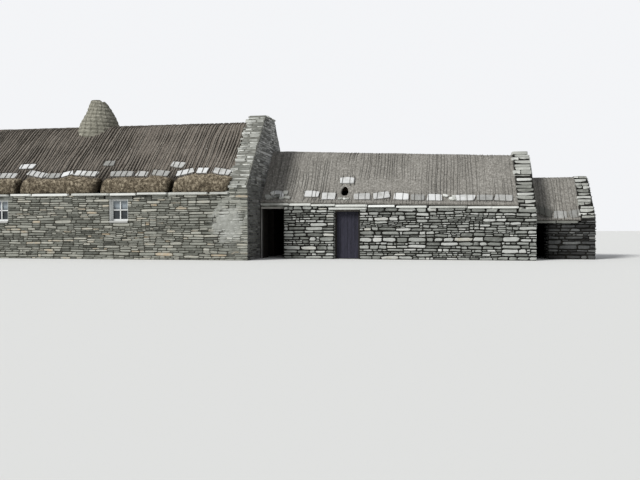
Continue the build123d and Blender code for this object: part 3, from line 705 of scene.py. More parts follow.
# %% Mortar skin
def mortar_skin(x0, x1, z0, z1, y, thick, seed, step=0.025):
    """The face lies thick (0.85 + wobble) in front of y in the middle of the patch, and falls
    to inside the wall along a ragged edge; the back of the sheet lies 6 cm behind y."""
    x = np.linspace(x0, x1, int((x1 - x0) / step))[None, :]
    z = np.linspace(z0, z1, int((z1 - z0) / step))[:, None]
    x, z = np.broadcast_arrays(x, z)
    place = np.stack([x, 0 * x, z], axis=-1)
    away = np.hypot((x - (x0 + x1) / 2) / (x1 - x0), (z - (z0 + z1) / 2) / (z1 - z0)) * 2
    edge = np.clip((1.0 - away + 0.45 * wobble(place, 0.22, seed)) / 0.5, 0, 1)
    out = thick * (0.85 + 0.55 * wobble(place, 0.14, seed + 1) + 0.25 * wobble(place, 0.05, seed + 2))
    front = np.stack([np.minimum(x, house_x1 + 0.015), y - out * edge + 0.02 * (1 - edge), z], axis=-1)
    back = front * (1, 0, 1) + (0, y + 0.06, 0)
    return shell(back, front)


mortar = stone_finish(
    "pale_mortar",
    ((0.30, paint(84, 85, 79)), (0.46, paint(142, 143, 136)), (0.66, paint(184, 185, 178))),
    paint(120, 120, 111), 0.6, grain=0.8)
points, quads = mortar_skin(-0.22, house_x1 + 0.10, 0.30, 2.25, house_y, 0.023, 91)
make_piece("gable_mortar", mortar, points, [quads], smooth=True, values={"tone": np.full(len(points), 0.5)})

# %% [markdown]
# ## Stone faces of the byre and the store
#
# These walls are laid dry. The flagstones are longer and lie flatter, and the black gaps
# between them do the drawing, so they stand out further and have wider joints.

# %% Stones of the byre and the store
rng = np.random.default_rng(23)
dry_size = {"wide": (0.09, 0.60), "tall": (0.045, 0.180), "flat": 3.1}
dry_proud = {"proud": (0.008, 0.044), "joint": 0.021, "nibble": 0.68}
passage_x1, door_x0, door_x1 = 1.92, 3.68, 4.54
door_head, door_lintel_top = 1.67, 1.74
DOOR_BEARING = 0.25


def byre_front_top(s):
    x = passage_x1 + s
    return np.where(x > byre_in1, 1.70, np.where(x < passage_x1 + DOOR_BEARING, 1.78, byre_head(x)))


door_holes = [(door_x0 - passage_x1, door_x1 - passage_x1, 0.0, door_head),
              (door_x0 - DOOR_BEARING - passage_x1, door_x1 + DOOR_BEARING - passage_x1, door_head, door_lintel_top)]
faces = []
laid = lay_stones(rng, byre_x1 - passage_x1 + WRAP, byre_front_top, holes=door_holes, **dry_size)
faces.append(cushion_stones(rng, laid, (passage_x1, byre_y, 0), RIGHT, TOWARDS, **dry_proud))
jamb = lay_stones(rng, 0.15, lambda s: np.full(len(s), door_head), wide=(0.06, 0.16), tall=(0.07, 0.16))
faces.append(cushion_stones(rng, jamb, (door_x0, byre_y, 0), AWAY, RIGHT, (0.004, 0.012), depth=0.04))
byre_front = join(faces)
make_piece("byre_front_stones", dry_rubble, byre_front[0], byre_front[1:3],
           values={"tone": byre_front[3]})
laid = lay_stones(rng, byre_x1 - house_x1, lambda s: byre_head(byre_x1 - s), **dry_size)
face = cushion_stones(rng, laid, (byre_x1, back_y, 0), LEFT, AWAY, **dry_proud)
make_piece("byre_back_stones", dry_rubble, face[0], face[1:3], values={"tone": face[3]})


def above_store(s):
    return over_roof(store_roof, byre_x1, byre_y + s)


laid = lay_stones(rng, back_y - byre_y, lambda s: np.minimum(gable_top("byre", byre_y + s) - 0.03, 3.32),
                  base=above_store, **dry_size)
faces = [cushion_stones(rng, laid, (byre_x1, byre_y, 0), AWAY, RIGHT, (0.004, 0.022), joint=0.016, nibble=0.72)]
# the worn head leans in by 0.13 m from 3.30 m up to its crown, and has stones of its own
head_rng = np.random.default_rng(29)
laid = lay_stones(head_rng, back_y - byre_y, along_gable("byre", byre_y, 1),
                  base=lambda s: np.full(len(s), 3.32), **dry_size)
head = cushion_stones(head_rng, laid, (byre_x1, byre_y, 0), AWAY, RIGHT, (0.012, 0.030), joint=0.016, nibble=0.72)
head[0][:, 0] -= 0.13 * np.clip((head[0][:, 2] - 3.30) / (GABLES["byre"][2] - 3.30), 0, 1)
face = join(faces + [head])
make_piece("byre_gable_stones", dry_rubble, face[0], face[1:3], values={"tone": face[3]})
print("stones on the byre's worn head", len(laid))

opening_x1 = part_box("store_front_wall")[0].x
faces = []
laid = lay_stones(rng, store_x1 - opening_x1 + WRAP, lambda s: np.where(opening_x1 + s > store_in1, 1.44, store_head),
                  **dry_size)
faces.append(cushion_stones(rng, laid, (opening_x1, store_y, 0), RIGHT, TOWARDS, **dry_proud))
laid = lay_stones(rng, 0.6, lambda s: np.full(len(s), store_head), **dry_size)
faces.append(cushion_stones(rng, laid, (opening_x1, store_y + 0.6, 0), TOWARDS, LEFT, **dry_proud))
store_front = join(faces)
make_piece("store_front_stones", shaded_rubble, store_front[0], store_front[1:3],
           values={"tone": store_front[3]})
faces = []
laid = lay_stones(rng, back_y - store_y, along_gable("store", store_y, 1), **dry_size)
faces.append(cushion_stones(rng, laid, (store_x1, store_y, 0), AWAY, RIGHT, **dry_proud))
laid = lay_stones(rng, store_x1 - byre_x1, lambda s: np.full(len(s), store_head), **dry_size)
faces.append(cushion_stones(rng, laid, (store_x1, back_y, 0), LEFT, AWAY, **dry_proud))
store_face = join(faces)
make_piece("store_stones", dry_rubble, store_face[0], store_face[1:3],
           values={"tone": store_face[3]})


# %% Cores of the walls
def dress(finish, *names):
    """A CAD node keeps its shape and gets a better finish in every material slot."""
    for name in names:
        for slot in nodes[name].material_slots:
            slot.material = finish


dress(house_core, "house_front_wall", "house_back_wall", "house_left_gable", "window_lintels")
dress(gable_core, "house_right_gable")
dress(dry_core, "byre_front_wall_between_doors", "byre_front_wall_right", "byre_front_wall_over_door",
      "byre_back_wall", "store_front_wall", "store_back_wall")
# Painted shade in the passage: the gable core behind the byre's front face and below 1.90 m is darkened.
lay_painted_shade(gable_core, (("Y", -1.42, -1.34), ("Z", 1.98, 1.90)), paint(56, 54, 49))
print("cores dressed")


# %% Gables with worn heads
def worn_gable(name, x0, x1, worn, worn_from):
    """The profile of a gable carried through its wall: eight points go round it, and on the
    outer face the two at the crown lie further in, so the head is thinner than the wall."""
    front, shoulder, crown, width = GABLES[name]
    middle = (front + back_y) / 2
    bend = middle - front - (middle - front - width / 2) * (worn_from - shoulder) / (crown - shoulder)
    half = np.array((middle - front, middle - front, bend, width / 2))
    height = np.array((0.0, shoulder, worn_from, crown))
    y = np.concatenate([middle - half, middle + half[::-1]])
    z = np.concatenate([height, height[::-1]])
    outer_x = x1 - worn * (z == crown)
    points = np.concatenate([np.stack([x0 + 0 * y, y, z], 1), np.stack([outer_x, y, z], 1)])
    k = np.arange(8)
    after = (k + 1) % 8
    round_it = np.stack([k, after, after + 8, k + 8], 1)
    lid = np.array([(0, 1, 6, 7), (1, 2, 5, 6), (2, 3, 4, 5)])
    piece = make_piece(name + "_gable_core", dry_core, points,
                       [np.concatenate([round_it, lid[:, ::-1], lid + 8])])
    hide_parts(name + "_gable")


worn_gable("byre", byre_in1, byre_x1, worn=0.13, worn_from=3.30)
worn_gable("store", store_in1, store_x1, worn=0.04, worn_from=2.60)

# %% [markdown]
# ## Slabs and loose stones
#
# Copings, wall-head flags, lintels and weight stones are slabs that show more than one
# side. Each is a closed lump: a box with rounded edges, pushed in and out a little at
# every corner, so that no two are alike.

# %% Rough lumps
RINGS = np.radians((-62, -28, 28, 62))
ROUND = 10


def lumps(rng, centres, halves, frames=None, square=0.30, rough=0.05):
    """Closed rough slabs. For the angles v up and u round, x = C(v) C(u), y = C(v) S(u) and
    z = S(v), where C and S are cos and sin raised to the power square with their sign kept;
    then each point moves by a random share of the half sizes. frames are 3x3 axes."""
    count = len(centres)
    power = lambda value: np.sign(value) * np.abs(value) ** square
    u = (np.arange(ROUND) + 0.5) * 2 * np.pi / ROUND
    wide, high = power(np.cos(RINGS)), power(np.sin(RINGS))
    unit = np.stack([np.outer(wide, power(np.cos(u))), np.outer(wide, power(np.sin(u))),
                     np.repeat(high[:, None], ROUND, axis=1)], axis=-1).reshape(-1, 3)
    unit = np.concatenate([unit, [(0, 0, -1.0), (0, 0, 1.0)]])
    outline = rng.uniform(1 - 2.2 * rough, 1 + 0.6 * rough, (count, ROUND))
    scale = np.concatenate([np.tile(outline, (1, len(RINGS))), np.ones((count, 2))], axis=1)[..., None]
    local = unit * halves[:, None, :]
    local[..., :2] *= scale
    local += rng.uniform(-1, 1, local.shape) * rough * 0.5 * halves[:, None, :]
    if frames is None:
        spin = rng.uniform(-0.06, 0.06, count)
        zero, one = np.zeros(count), np.ones(count)
        frames = np.stack([np.stack([np.cos(spin), -np.sin(spin), zero], -1),
                           np.stack([np.sin(spin), np.cos(spin), zero], -1),
                           np.stack([zero, zero, one], -1)], axis=1)
    points = np.einsum("nij,nkj->nki", frames, local) + np.asarray(centres)[:, None, :]
    size = len(unit)
    quads = grid_faces(len(RINGS), ROUND, wrap_columns=True)
    ring = np.arange(ROUND)
    after = (ring + 1) % ROUND
    last = (len(RINGS) - 1) * ROUND
    low = np.stack([after, ring, np.full(ROUND, size - 2)], axis=1)
    high = np.stack([ring + last, after + last, np.full(ROUND, size - 1)], axis=1)
    first = (np.arange(count) * size)[:, None, None]
    tone = np.repeat(rng.beta(2.2, 2.2, count), size)
    return (points.reshape(-1, 3), (first + quads).reshape(-1, 4),
            (first + np.concatenate([low, high])).reshape(-1, 3), tone)


def tilted(along, normal):
    """Axes of slabs from their long direction and the normal of what they lie on."""
    along, normal = np.broadcast_arrays(np.asarray(along, float), np.asarray(normal, float))
    normal = normal / np.linalg.norm(normal, axis=-1, keepdims=True)
    along = along - (along * normal).sum(-1, keepdims=True) * normal
    along = along / np.linalg.norm(along, axis=-1, keepdims=True)
    return np.stack([along, np.cross(normal, along), normal], axis=-1)


# %% [markdown]
# ## Copings of the gables
#
# A gable is finished with flat slabs that climb its slope like steps. On the house they
# are thin, two across, and their inner ends lap over the edge of the thatch. On the byre
# and the store they are coarse single blocks with black gaps under them.

# %% Coping slabs
def coping(rng, name, x0, x1, thin, lap_left, lap_right, deep, start_drop, gap, rough, set_in=0.03,
           step_out=0.0, split=0.7, crown_ends=(0.0, 0.0)):
    """Slabs up the front slope, over the crown and down the back. Each course is as high as
    its slab, and its outer edge follows the gable's slope."""
    front, shoulder, crown, width = GABLES[name]
    middle = (front + back_y) / 2
    centres, halves = [], []
    for side in (1, -1):
        foot = shoulder - start_drop
        while foot < crown - 0.02:
            tall_here = rng.uniform(*thin)
            rise = np.clip((foot + tall_here / 2 - shoulder) / (crown - shoulder), 0, 1)
            edge = (middle - width / 2 - front) * rise - rng.uniform(0.01, 0.06) - step_out
            cut = rng.uniform(0.35, 0.65) if rng.random() < split else 1.0
            left = x0 - rng.uniform(0.0, lap_left)
            right = x1 + rng.uniform(-set_in, lap_right)
            spans = [(0.0, cut), (cut, 1.0)] if cut < 1 else [(0.0, 1.0)]
            for begin, end in spans:
                a, b = left + (right - left) * begin, left + (right - left) * end
                d = deep * rng.uniform(0.85, 1.15)
                y = (front + edge + d / 2) if side > 0 else (back_y - edge - d / 2)
                y += rng.uniform(-0.02, 0.02)
                centres.append(((a + b) / 2, y, foot + tall_here / 2 + rng.uniform(-0.004, 0.004)))
                halves.append(((b - a) / 2 + 0.004, d / 2, (tall_here - gap) / 2))
            foot += tall_here
    y = middle - width / 2
    while y < middle + width / 2 - 0.05:
        d = min(rng.uniform(0.28, 0.5), middle + width / 2 - y)
        tall_here = rng.uniform(*thin) * 0.8
        begin, end = x0 + crown_ends[0] - rng.uniform(0.0, 0.03), x1 + crown_ends[1] - rng.uniform(0.0, 0.03)
        centres.append(((begin + end) / 2, y + d / 2, crown + rng.uniform(0.0, 0.02) - tall_here / 2))
        halves.append(((end - begin) / 2, d / 2, tall_here / 2))
        y += d
    return lumps(rng, np.array(centres), np.array(halves), square=0.26, rough=rough)


rng = np.random.default_rng(37)
slab_grey = stone_finish(
    "coping_stone",
    ((0.20, paint(92, 93, 87)), (0.38, paint(144, 145, 138)), (0.54, paint(180, 181, 174)),
     (0.70, paint(216, 217, 211)), (0.88, paint(170, 164, 140))),
    paint(190, 192, 184), 0.4)
thin_slabs = {"thin": (0.045, 0.10), "deep": 0.40, "start_drop": 0.10, "gap": 0.005, "rough": 0.07}
coarse_slabs = {"thin": (0.075, 0.16), "deep": 0.44, "start_drop": 0.06, "gap": 0.008, "rough": 0.08,
                "set_in": 0.03, "step_out": 0.02, "split": 0.35}
right_cope = coping(rng, "house", house_in1, house_x1, lap_left=0.13, lap_right=0.02, crown_ends=(0.05, 0.10),
                    **thin_slabs)
make_piece("house_right_coping", slab_grey, right_cope[0], right_cope[1:3],
           values={"tone": right_cope[3]})
left_cope = coping(rng, "house", house_x0, house_in0, lap_left=0.02, lap_right=0.13, **thin_slabs)
make_piece("house_left_coping", slab_grey, left_cope[0], left_cope[1:3],
           values={"tone": left_cope[3]})
byre_cope = coping(rng, "byre", byre_in1 + 0.02, byre_x1, lap_left=0.09, lap_right=0.02,
                   crown_ends=(-0.02, -0.11), **coarse_slabs)
make_piece("byre_coping", slab_grey, byre_cope[0], byre_cope[1:3], values={"tone": byre_cope[3]})
store_cope = coping(rng, "store", store_in1 + 0.02, store_x1, lap_left=0.07, lap_right=0.02,
                    crown_ends=(0.08, -0.04), **coarse_slabs)
make_piece("store_coping", slab_grey, store_cope[0], store_cope[1:3], values={"tone": store_cope[3]})

# %% [markdown]
# ## Straw, rope and old timber
#
# Thatch is bleached grey on top and brown where it is shaded, and its straws run down the
# slope, so the pattern follows a map that is laid on the roof in metres: u along the row,
# v down the slope. On a rope the same map turns the straws round it.


# %% Straw finishes
def straw_finish(name, dark, middle, pale, grain, twist=False, strength=0.6, fleck_share=0.35, reach=0.12,
                 fleck_size=15.0):
    """Straw: long streaks from a noise drawn out along the slope, patches of weather, and a
    tone that each point carries, which darkens the colour. The tone is lower at the gullies and
    differs at random from rope to rope; it is painted shade under the thatch, on the bolsters'
    ends and undersides, in the chimney's grooves and where ropes cross the weight stones, and
    it is lower still on the chimney's rim and in its flue."""
    finish, tree, shader = new_finish(name, 0.95, 0.12)
    coordinates = node(tree, "TexCoord")
    straw, where = coordinates.outputs["UV"], coordinates.outputs["Object"]
    tone = node(tree, "Attribute", {"attribute_name": "tone"}).outputs["Fac"]
    if twist:
        lay = node(tree, "TexWave", {"bands_direction": "DIAGONAL"}, Vector=stretch(tree, straw, (18.0, 14.0, 1.0)),
                   Scale=1.0, Distortion=2.0, Detail=2.0)
        streak = lay.outputs["Fac"]
    else:
        streak = noise(tree, stretch(tree, straw, grain), 1.0, 5.0, 0.7)
    patch = noise(tree, where, 1.3, 5.0, 0.65)
    fleck = noise(tree, where, fleck_size, 3.0, 0.75)
    speck = noise(tree, where, 42.0, 4.0, 0.8)
    share = node(tree, "Mix", i0=0.25, i2=streak, i3=patch).outputs[0]
    share = node(tree, "Mix", i0=fleck_share, i2=share, i3=fleck).outputs[0]
    share = node(tree, "Mix", i0=0.28, i2=share, i3=speck).outputs[0]
    colour = ramp(tree, share, ((0.50 - reach, dark), (0.50, middle), (0.50 + reach, pale)))
    colour = mix(tree, 1.0, colour, ramp(tree, tone, ((0.0, (0.10, 0.09, 0.08, 1)), (1.0, (1, 1, 1, 1)))), "MULTIPLY")
    tree.links.new(colour, shader.inputs["Base Color"])
    bump(tree, shader, node(tree, "Mix", i0=0.4, i2=streak, i3=speck).outputs[0], strength, 0.02)
    return finish


house_straw = straw_finish("house_thatch", paint(60, 55, 49), paint(104, 97, 89), paint(148, 140, 129),
                           (30.0, 3.0, 1.0))
house_rope = straw_finish("house_straw_rope", paint(86, 81, 73), paint(144, 137, 127), paint(198, 190, 177),
                          None, twist=True)
pale_straw = straw_finish("byre_thatch", paint(82, 79, 73), paint(129, 126, 119), paint(177, 174, 166),
                          (24.0, 9.0, 1.0), fleck_share=0.45)
pale_rope = straw_finish("byre_straw_rope", paint(92, 89, 83), paint(137, 134, 127), paint(181, 178, 170),
                         None, twist=True)
bolster_straw = straw_finish("bolster_straw", paint(34, 29, 22), paint(104, 94, 78), paint(194, 182, 158),
                             (30.0, 14.0, 1.0), strength=1.0, fleck_share=0.55, reach=0.10, fleck_size=9.0)
chimney_straw = straw_finish("chimney_straw", paint(92, 89, 78), paint(150, 148, 134), paint(202, 199, 183),
                             (9.0, 24.0, 1.0), strength=0.9)
print("straw finishes ready")

# %% [markdown]
# ## Weight stones
#
# Whitewashed slabs lie in a wavy line just above the eaves and hold the ropes down. They
# come before the thatch, because the ropes pass over them and have to know where they lie.

# %% Where the weight stones lie
# Each row: place along the range from its left or middle, length, and how far in from the
# brow the lower edge lies at the left end and at the right end
HOUSE_WEIGHTS = (
    (-5.62, 0.70, 0.02, 0.11), (-4.98, 0.48, 0.12, 0.12), (-4.42, 0.50, 0.11, 0.03),
    (-3.62, 0.62, 0.03, 0.11), (-2.95, 0.48, 0.11, 0.10), (-2.22, 0.72, 0.07, 0.05),
    (-1.67, 0.60, 0.43, 0.43), (-1.08, 0.83, 0.18, 0.02), (-0.39, 0.52, 0.03, 0.03),
    (0.08, 0.40, 0.03, 0.17), (0.81, 0.95, 0.13, 0.06), (1.45, 0.44, 0.50, 0.50),
    (2.15, 0.96, 0.05, 0.06), (2.90, 0.48, 0.06, 0.03), (3.54, 0.69, 0.11, 0.02),
    (4.02, 0.52, 0.43, 0.36), (4.41, 0.58, 0.02, 0.17), (4.99, 0.42, 0.15, 0.15),
    (5.66, 0.73, 0.17, 0.02))
BYRE_WEIGHTS = (
    (0.60, 0.44, 0.08, 0.06), (1.76, 0.52, 0.09, 0.08), (2.38, 0.58, 0.02, 0.02),
    (2.95, 0.60, 0.56, 0.56), (3.52, 0.60, 0.02, 0.04), (4.16, 0.60, 0.03, 0.11),
    (4.84, 0.52, 0.05, 0.04), (5.39, 0.50, 0.02, 0.02), (5.94, 0.54, 0.03, 0.02),
    (6.93, 0.66, 0.02, 0.02), (7.57, 0.52, 0.04, 0.03), (8.14, 0.58, 0.05, 0.03))
STORE_WEIGHTS = ((0.43, 0.56, 0.17, -0.02), (0.96, 0.44, -0.02, -0.03), (1.44, 0.42, -0.03, 0.05))
SLAB_IN, SLAB_THICK = 0.22, 0.05
HUMP = SLAB_THICK + 0.010


class Weights:
    """The weight stones of one roof. Inward distances are taken level, from the wall face."""

    def __init__(self, roof, datum, table, out=0.05):
        self.roof = roof
        self.rows = np.array(table) + (datum, 0, roof.brow_in - out, roof.brow_in - out)

    def lift(self, x, share):
        """How far a rope is raised by the stones under it: a flat-topped hump over each."""
        inward = np.interp(1 - np.abs(2 * share - 1), self.roof.knots, self.roof.inward)
        total = np.zeros(np.broadcast(x, share).shape)
        for place, length, left, right in self.rows:
            middle = left + (right - left) * ((x - place) / length + 0.5) + SLAB_IN / 2
            over = np.clip((SLAB_IN / 2 + 0.05 - np.abs(inward - middle)) / 0.05, 0, 1)
            beside = np.clip((length / 2 + 0.02 - np.abs(x - place)) / 0.04, 0, 1)
            total = np.maximum(total, over * beside)
        return total * HUMP

    def slabs(self, rng):
        """A slab on each slope for every row of the table. It is as long and as wide as the
        slope between its edges, and its normal is the slope's."""
        centres, halves, frames = [], [], []
        place, length, left, right = self.rows.T
        for side in (1, -1):
            at = lambda x, inward, lift=0.0: self.roof.slope_point(x, inward, side, lift)
            middle = (left + right + SLAB_IN) / 2
            surface = at(place, middle)
            start, end = at(place - length / 2, left + SLAB_IN / 2), at(place + length / 2, right + SLAB_IN / 2)
            climb = np.linalg.norm(at(place, middle + SLAB_IN / 2) - at(place, middle - SLAB_IN / 2), axis=1)
            turned = length / np.linalg.norm(end - start, axis=1)
            centres.append(at(place, middle, SLAB_THICK / 2 + 0.004))
            halves.append(np.stack([length / turned / 2, climb * turned / 2, 0 * length + SLAB_THICK / 2], axis=1))
            frames.append(tilted(end - start, at(place, middle, 0.1) - surface))
        halves = np.concatenate(halves) * rng.uniform(0.92, 1.05, (2 * len(self.rows), 3))
        return lumps(rng, np.concatenate(centres), halves, np.concatenate(frames), square=0.24, rough=0.075)


house_weights = Weights(house_roof, house_middle, HOUSE_WEIGHTS, out=0.0)
byre_weights = Weights(byre_roof, house_x1, BYRE_WEIGHTS)
store_weights = Weights(store_roof, byre_x1, STORE_WEIGHTS)
whitewash = stone_finish(
    "whitewashed_stone",
    ((0.20, paint(104, 104, 98)), (0.36, paint(154, 154, 150)), (0.50, paint(194, 194, 191)),
     (0.74, paint(218, 219, 217))),
    paint(140, 140, 131), 0.6)
rng = np.random.default_rng(41)
for name, weights, weathered in (("house", house_weights, 0.0), ("byre", byre_weights, 0.0),
                                 ("store", store_weights, 0.30)):
    slabs = weights.slabs(rng)
    stones = make_piece(name + "_white_stones", whitewash, slabs[0], slabs[1:3],
                        values={"tone": slabs[3] - weathered})
    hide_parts(name + "_weight_stones")

# %% [markdown]
# ## Thatch
#
# The sheet of thatch is drawn twice, outside and underside, and stitched round its edges,
# so it is a closed body with real thickness. The outside is pushed in and out by soft
# noise, because no thatch is flat: broad hollows, and small ridges that run downhill.
#
# A small vent lets the air out over the byre's second door. It isn't cut out afterwards: the
# grid lines are drawn aside round it, the block of cells between them is left out, and the
# rim is joined to that of the underside. The underside's rim lies further up the slope, so
# the hole goes in level.


# %% Thatch sheets
def drawn_aside(x, run, first, cells, centre, half):
    """Grid lines round an oval. In the block of cells that is left out, p and q go from -1 to
    1. With m = max(|p|, |q|) a point goes to centre + half (p, q) m / |(p, q)|, which makes
    an oval of the block's rim, narrower uphill; the move fades out by m = 3."""
    i, j = np.meshgrid(np.arange(x.shape[0]), np.arange(x.shape[1]), indexing="ij")
    p = (i - first[0]) * 2 / cells[0] - 1
    q = (j - first[1]) * 2 / cells[1] - 1
    most = np.maximum(np.abs(p), np.abs(q))
    oval = most / np.maximum(np.hypot(p, q), 1e-9)
    share = np.clip((3 - most) / 2, 0, 1)
    across = centre[0] + half[0] * p * oval * (1 - 0.25 * np.clip(q * oval, -1, 1))
    return x + share * (across - x), run + share * (centre[1] + half[1] * q * oval - run)


def block_rim(first, cells, columns):
    """Point numbers round a block of cells, once round."""
    a, b = cells
    i = np.concatenate([np.arange(a), np.full(b, a), np.arange(a, 0, -1), np.zeros(b, int)])
    j = np.concatenate([np.zeros(a, int), np.arange(b), np.full(a, b), np.arange(b, 0, -1)])
    return (first[0] + i) * columns + first[1] + j


def without_block(quads, first, cells, rows, columns, shift):
    """Marks the quads that stay when a block of cells is taken out of a grid's faces."""
    i, j = np.meshgrid(np.arange(cells[0]), np.arange(cells[1]), indexing="ij")
    keep = np.ones(len(quads), bool)
    keep[shift + ((first[0] + i) * (columns - 1) + first[1] + j).ravel()] = False
    return keep


THATCH_DEEP = 0.26


def thatch_sheet(name, weights, finish, seed, dx, rows, hollow, ridge_size, gullies=(), vent=None):
    """Outside: the roof line lifted by wobble in two sizes, pressed flat under the stones.
    Underside: the same line 0.26 m further down, but never below the foot of the thatch. vent
    is its place along the row, its run from the eaves, and its half width and half height."""
    roof = weights.roof
    x = np.linspace(roof.left, roof.right, int((roof.right - roof.left) / dx) + 1)[:, None]
    share = np.linspace(0, 1, rows)[None, :]
    x, share = np.broadcast_arrays(x, share)
    run = share * roof.length
    flat = roof.point(x, share)
    down = np.stack([x, run, 0 * x], axis=-1)
    lift = hollow * wobble(flat, 0.8, seed) + ridge_size * wobble(down / (0.35, 1.4, 1.0), 0.25, seed + 1)
    lift = lift * np.clip(np.minimum(share, 1 - share) * roof.length / 0.15, 0, 1)
    lift = lift * (1 - weights.lift(x, share) / HUMP)
    grids = [(x, run), (x, run)]
    if vent is not None:
        centre, half = vent[:2], vent[2:]
        cells = (6, 9)
        steps = np.array((x[1, 0] - x[0, 0], run[0, 1]))
        first = np.round((np.array(centre) - (roof.left, 0)) / steps - np.array(cells) / 2).astype(int)
        here = roof.line(centre[0], centre[1] / roof.length)[1]
        above = roof.line(centre[0], (centre[1] + 0.1) / roof.length)[1]
        uphill = 0.1 * THATCH_DEEP / float(above - here)
        further = first + (0, int(round(uphill / steps[1])))
        grids = [drawn_aside(x, run, first, cells, centre, half),
                 drawn_aside(x, run, further, cells, (centre[0], centre[1] + uphill), half)]
    outer, inner = (roof.point(gx, gr / roof.length, lift) for gx, gr in grids)
    inner[..., 2] -= THATCH_DEEP
    foot = np.interp(x, (roof.left, roof.right), roof.ends[0])
    inner[..., 2] = np.maximum(inner[..., 2], np.minimum(foot, outer[..., 2] - 0.01))
    points, quads = shell(outer, inner)
    tone = np.ones(x.shape)
    if vent is not None:
        columns, sheet = x.shape[1], (x.shape[0] - 1) * (x.shape[1] - 1)
        keep = (without_block(quads, first, cells, *x.shape, 0)
                & without_block(quads, further, cells, *x.shape, sheet))
        near, far = block_rim(first, cells, columns), block_rim(further, cells, columns) + x.size
        sides = np.stack([near, np.roll(near, -1), np.roll(far, -1), far], axis=1)
        quads = np.concatenate([quads[keep], sides])
        print("vent rim points", len(near))
    for place in gullies:
        near = np.exp(-((x - place) / 0.16) ** 2)
        low = np.clip(1 - np.minimum(share, 1 - share) * roof.length / 0.9, 0, 1)
        tone = tone * (1 - 0.75 * near * low)
    uv = np.stack([flat[..., 0], down[..., 1]], axis=-1).reshape(-1, 2)
    # The underside carries 0.45 of the outside's tone: painted shade under the thatch.
    return make_piece(name, finish, points, [quads], smooth=True,
                      values={"tone": np.concatenate([tone.ravel(), 0.45 * tone.ravel()])}, uv=np.tile(uv, (2, 1)))


GULLIES = house_middle + np.array((-4.09, -1.51, 1.51, 4.09))
thatch = thatch_sheet("house_thatch", house_weights, house_straw, 5, 0.06, 90, 0.022, 0.010, GULLIES)
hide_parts("house_thatch_front", "house_thatch_back")

vent_x, vent_z = house_x1 + 2.90, 2.31
vent_run = float(byre_roof.share_at(np.interp(vent_z, (2.013, 3.686), (0.15, 1.68))) * byre_roof.length)
byre_sheet = thatch_sheet("byre_thatch", byre_weights, pale_straw, 6, 0.05, 110, 0.020, 0.006,
                          vent=(vent_x, vent_run, 0.125, 0.22))
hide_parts("byre_thatch_front", "byre_thatch_back")
store_sheet = thatch_sheet("store_thatch", store_weights, pale_straw, 7, 0.05, 90, 0.014, 0.008)
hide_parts("store_thatch_front", "store_thatch_back")

# %% [markdown]
# ## Straw ropes over the thatch
#
# The roofs are netted down with ropes that run from eaves to eaves across the ridge. On
# the house they lie so close that they are what one sees; on the byre they are thinner
# and sunk in the straw. Each rope follows the roof line, wanders a little, and climbs
# over the weight stones.


# %% Ropes
def roof_ropes(name, weights, finish, seed, pitch, thick, sink, rows, sides=5, spread=0.25, gullies=(),
               part=None, start_share=0.0, every=2, darkest=0.72):
    """Closed tubes. The middle of a rope at a share s across is the roof line lifted by
    its hump over the stones; around it run the points lift + r cos a, sideways r sin a."""
    roof = weights.roof
    rng = np.random.default_rng(seed)
    count = int((roof.right - roof.left) / pitch)
    base = roof.left + (np.arange(count) + 0.5) * pitch + rng.uniform(-spread, spread, count) * pitch
    share = np.linspace(start_share, 1 - start_share, rows)
    x = base[:, None] + 0 * share
    run = share * roof.length
    sway = np.stack([x * 3.1, run[None, :] + 0 * x, 0 * x], axis=-1)
    x = x + 0.35 * pitch * wobble(sway, 1.1, seed + 3)
    if part is not None:
        close = np.exp(-((run[None, :] - part[1]) / 0.24) ** 2) * np.exp(-((base[:, None] - part[0]) / 0.20) ** 2)
        x = x + np.sign(base - part[0])[:, None] * close * 0.14
    x = np.clip(x, roof.left + thick, roof.right - thick)
    crossing = (np.arange(count) % every == 0)[:, None]
    lift = weights.lift(x, share[None, :] + 0 * x) * crossing
    radius = thick * rng.uniform(0.8, 1.15, count)[:, None] * (1 + 0.15 * wobble(sway, 0.3, seed + 4))
    radius = np.where(lift > 0.01, np.minimum(radius, 0.010), radius)
    angle = np.arange(sides) * 2 * np.pi / sides + np.pi / 2
    rings = [roof.point(x + radius * np.cos(a), share[None, :], lift + sink + radius * np.sin(a)) for a in angle]
    points = np.stack(rings, axis=2)
    quads = grid_faces(rows, sides, wrap_columns=True)
    k = np.arange(sides)
    after = (k + 1) % sides
    last = (rows - 1) * sides
    caps = np.stack([np.stack([k[0] + 0 * k[2:], k[1:-1], k[2:]], 1)[:, ::-1],
                     np.stack([k[0] + 0 * k[2:], k[1:-1], k[2:]], 1) + last]).reshape(-1, 3)
    first = (np.arange(count) * rows * sides)[:, None, None]
    dashes = wobble(np.stack([x / 0.06, run[None, :] / 0.22 + 0 * x, 0 * x], axis=-1), 1.0, seed + 6)
    # Where a rope crosses a weight stone it is darkened to 0.40: painted shade where the rope lies on the stone.
    tone = rng.uniform(darkest, 1.0, count)[:, None] * np.where(lift > 0.01, 0.40, 0.84 + 0.16 * dashes)
    for place in gullies:
        near = np.exp(-((x - place) / 0.13) ** 2)
        low = np.clip(1 - np.minimum(share, 1 - share)[None, :] * roof.length / 0.8, 0, 1)
        tone = tone * (1 - 0.8 * near * low)
    uv = np.stack(np.broadcast_arrays(np.arange(sides)[None, None, :] / sides + 0 * x[..., None],
                                      run[None, :, None] + 0 * x[..., None]), axis=-1)
    return make_piece(name, finish, points.reshape(-1, 3),
                      [(first + quads).reshape(-1, 4), (first + caps).reshape(-1, 3)], smooth=True,
                      values={"tone": np.repeat(tone.ravel(), sides)}, uv=uv.reshape(-1, 2))


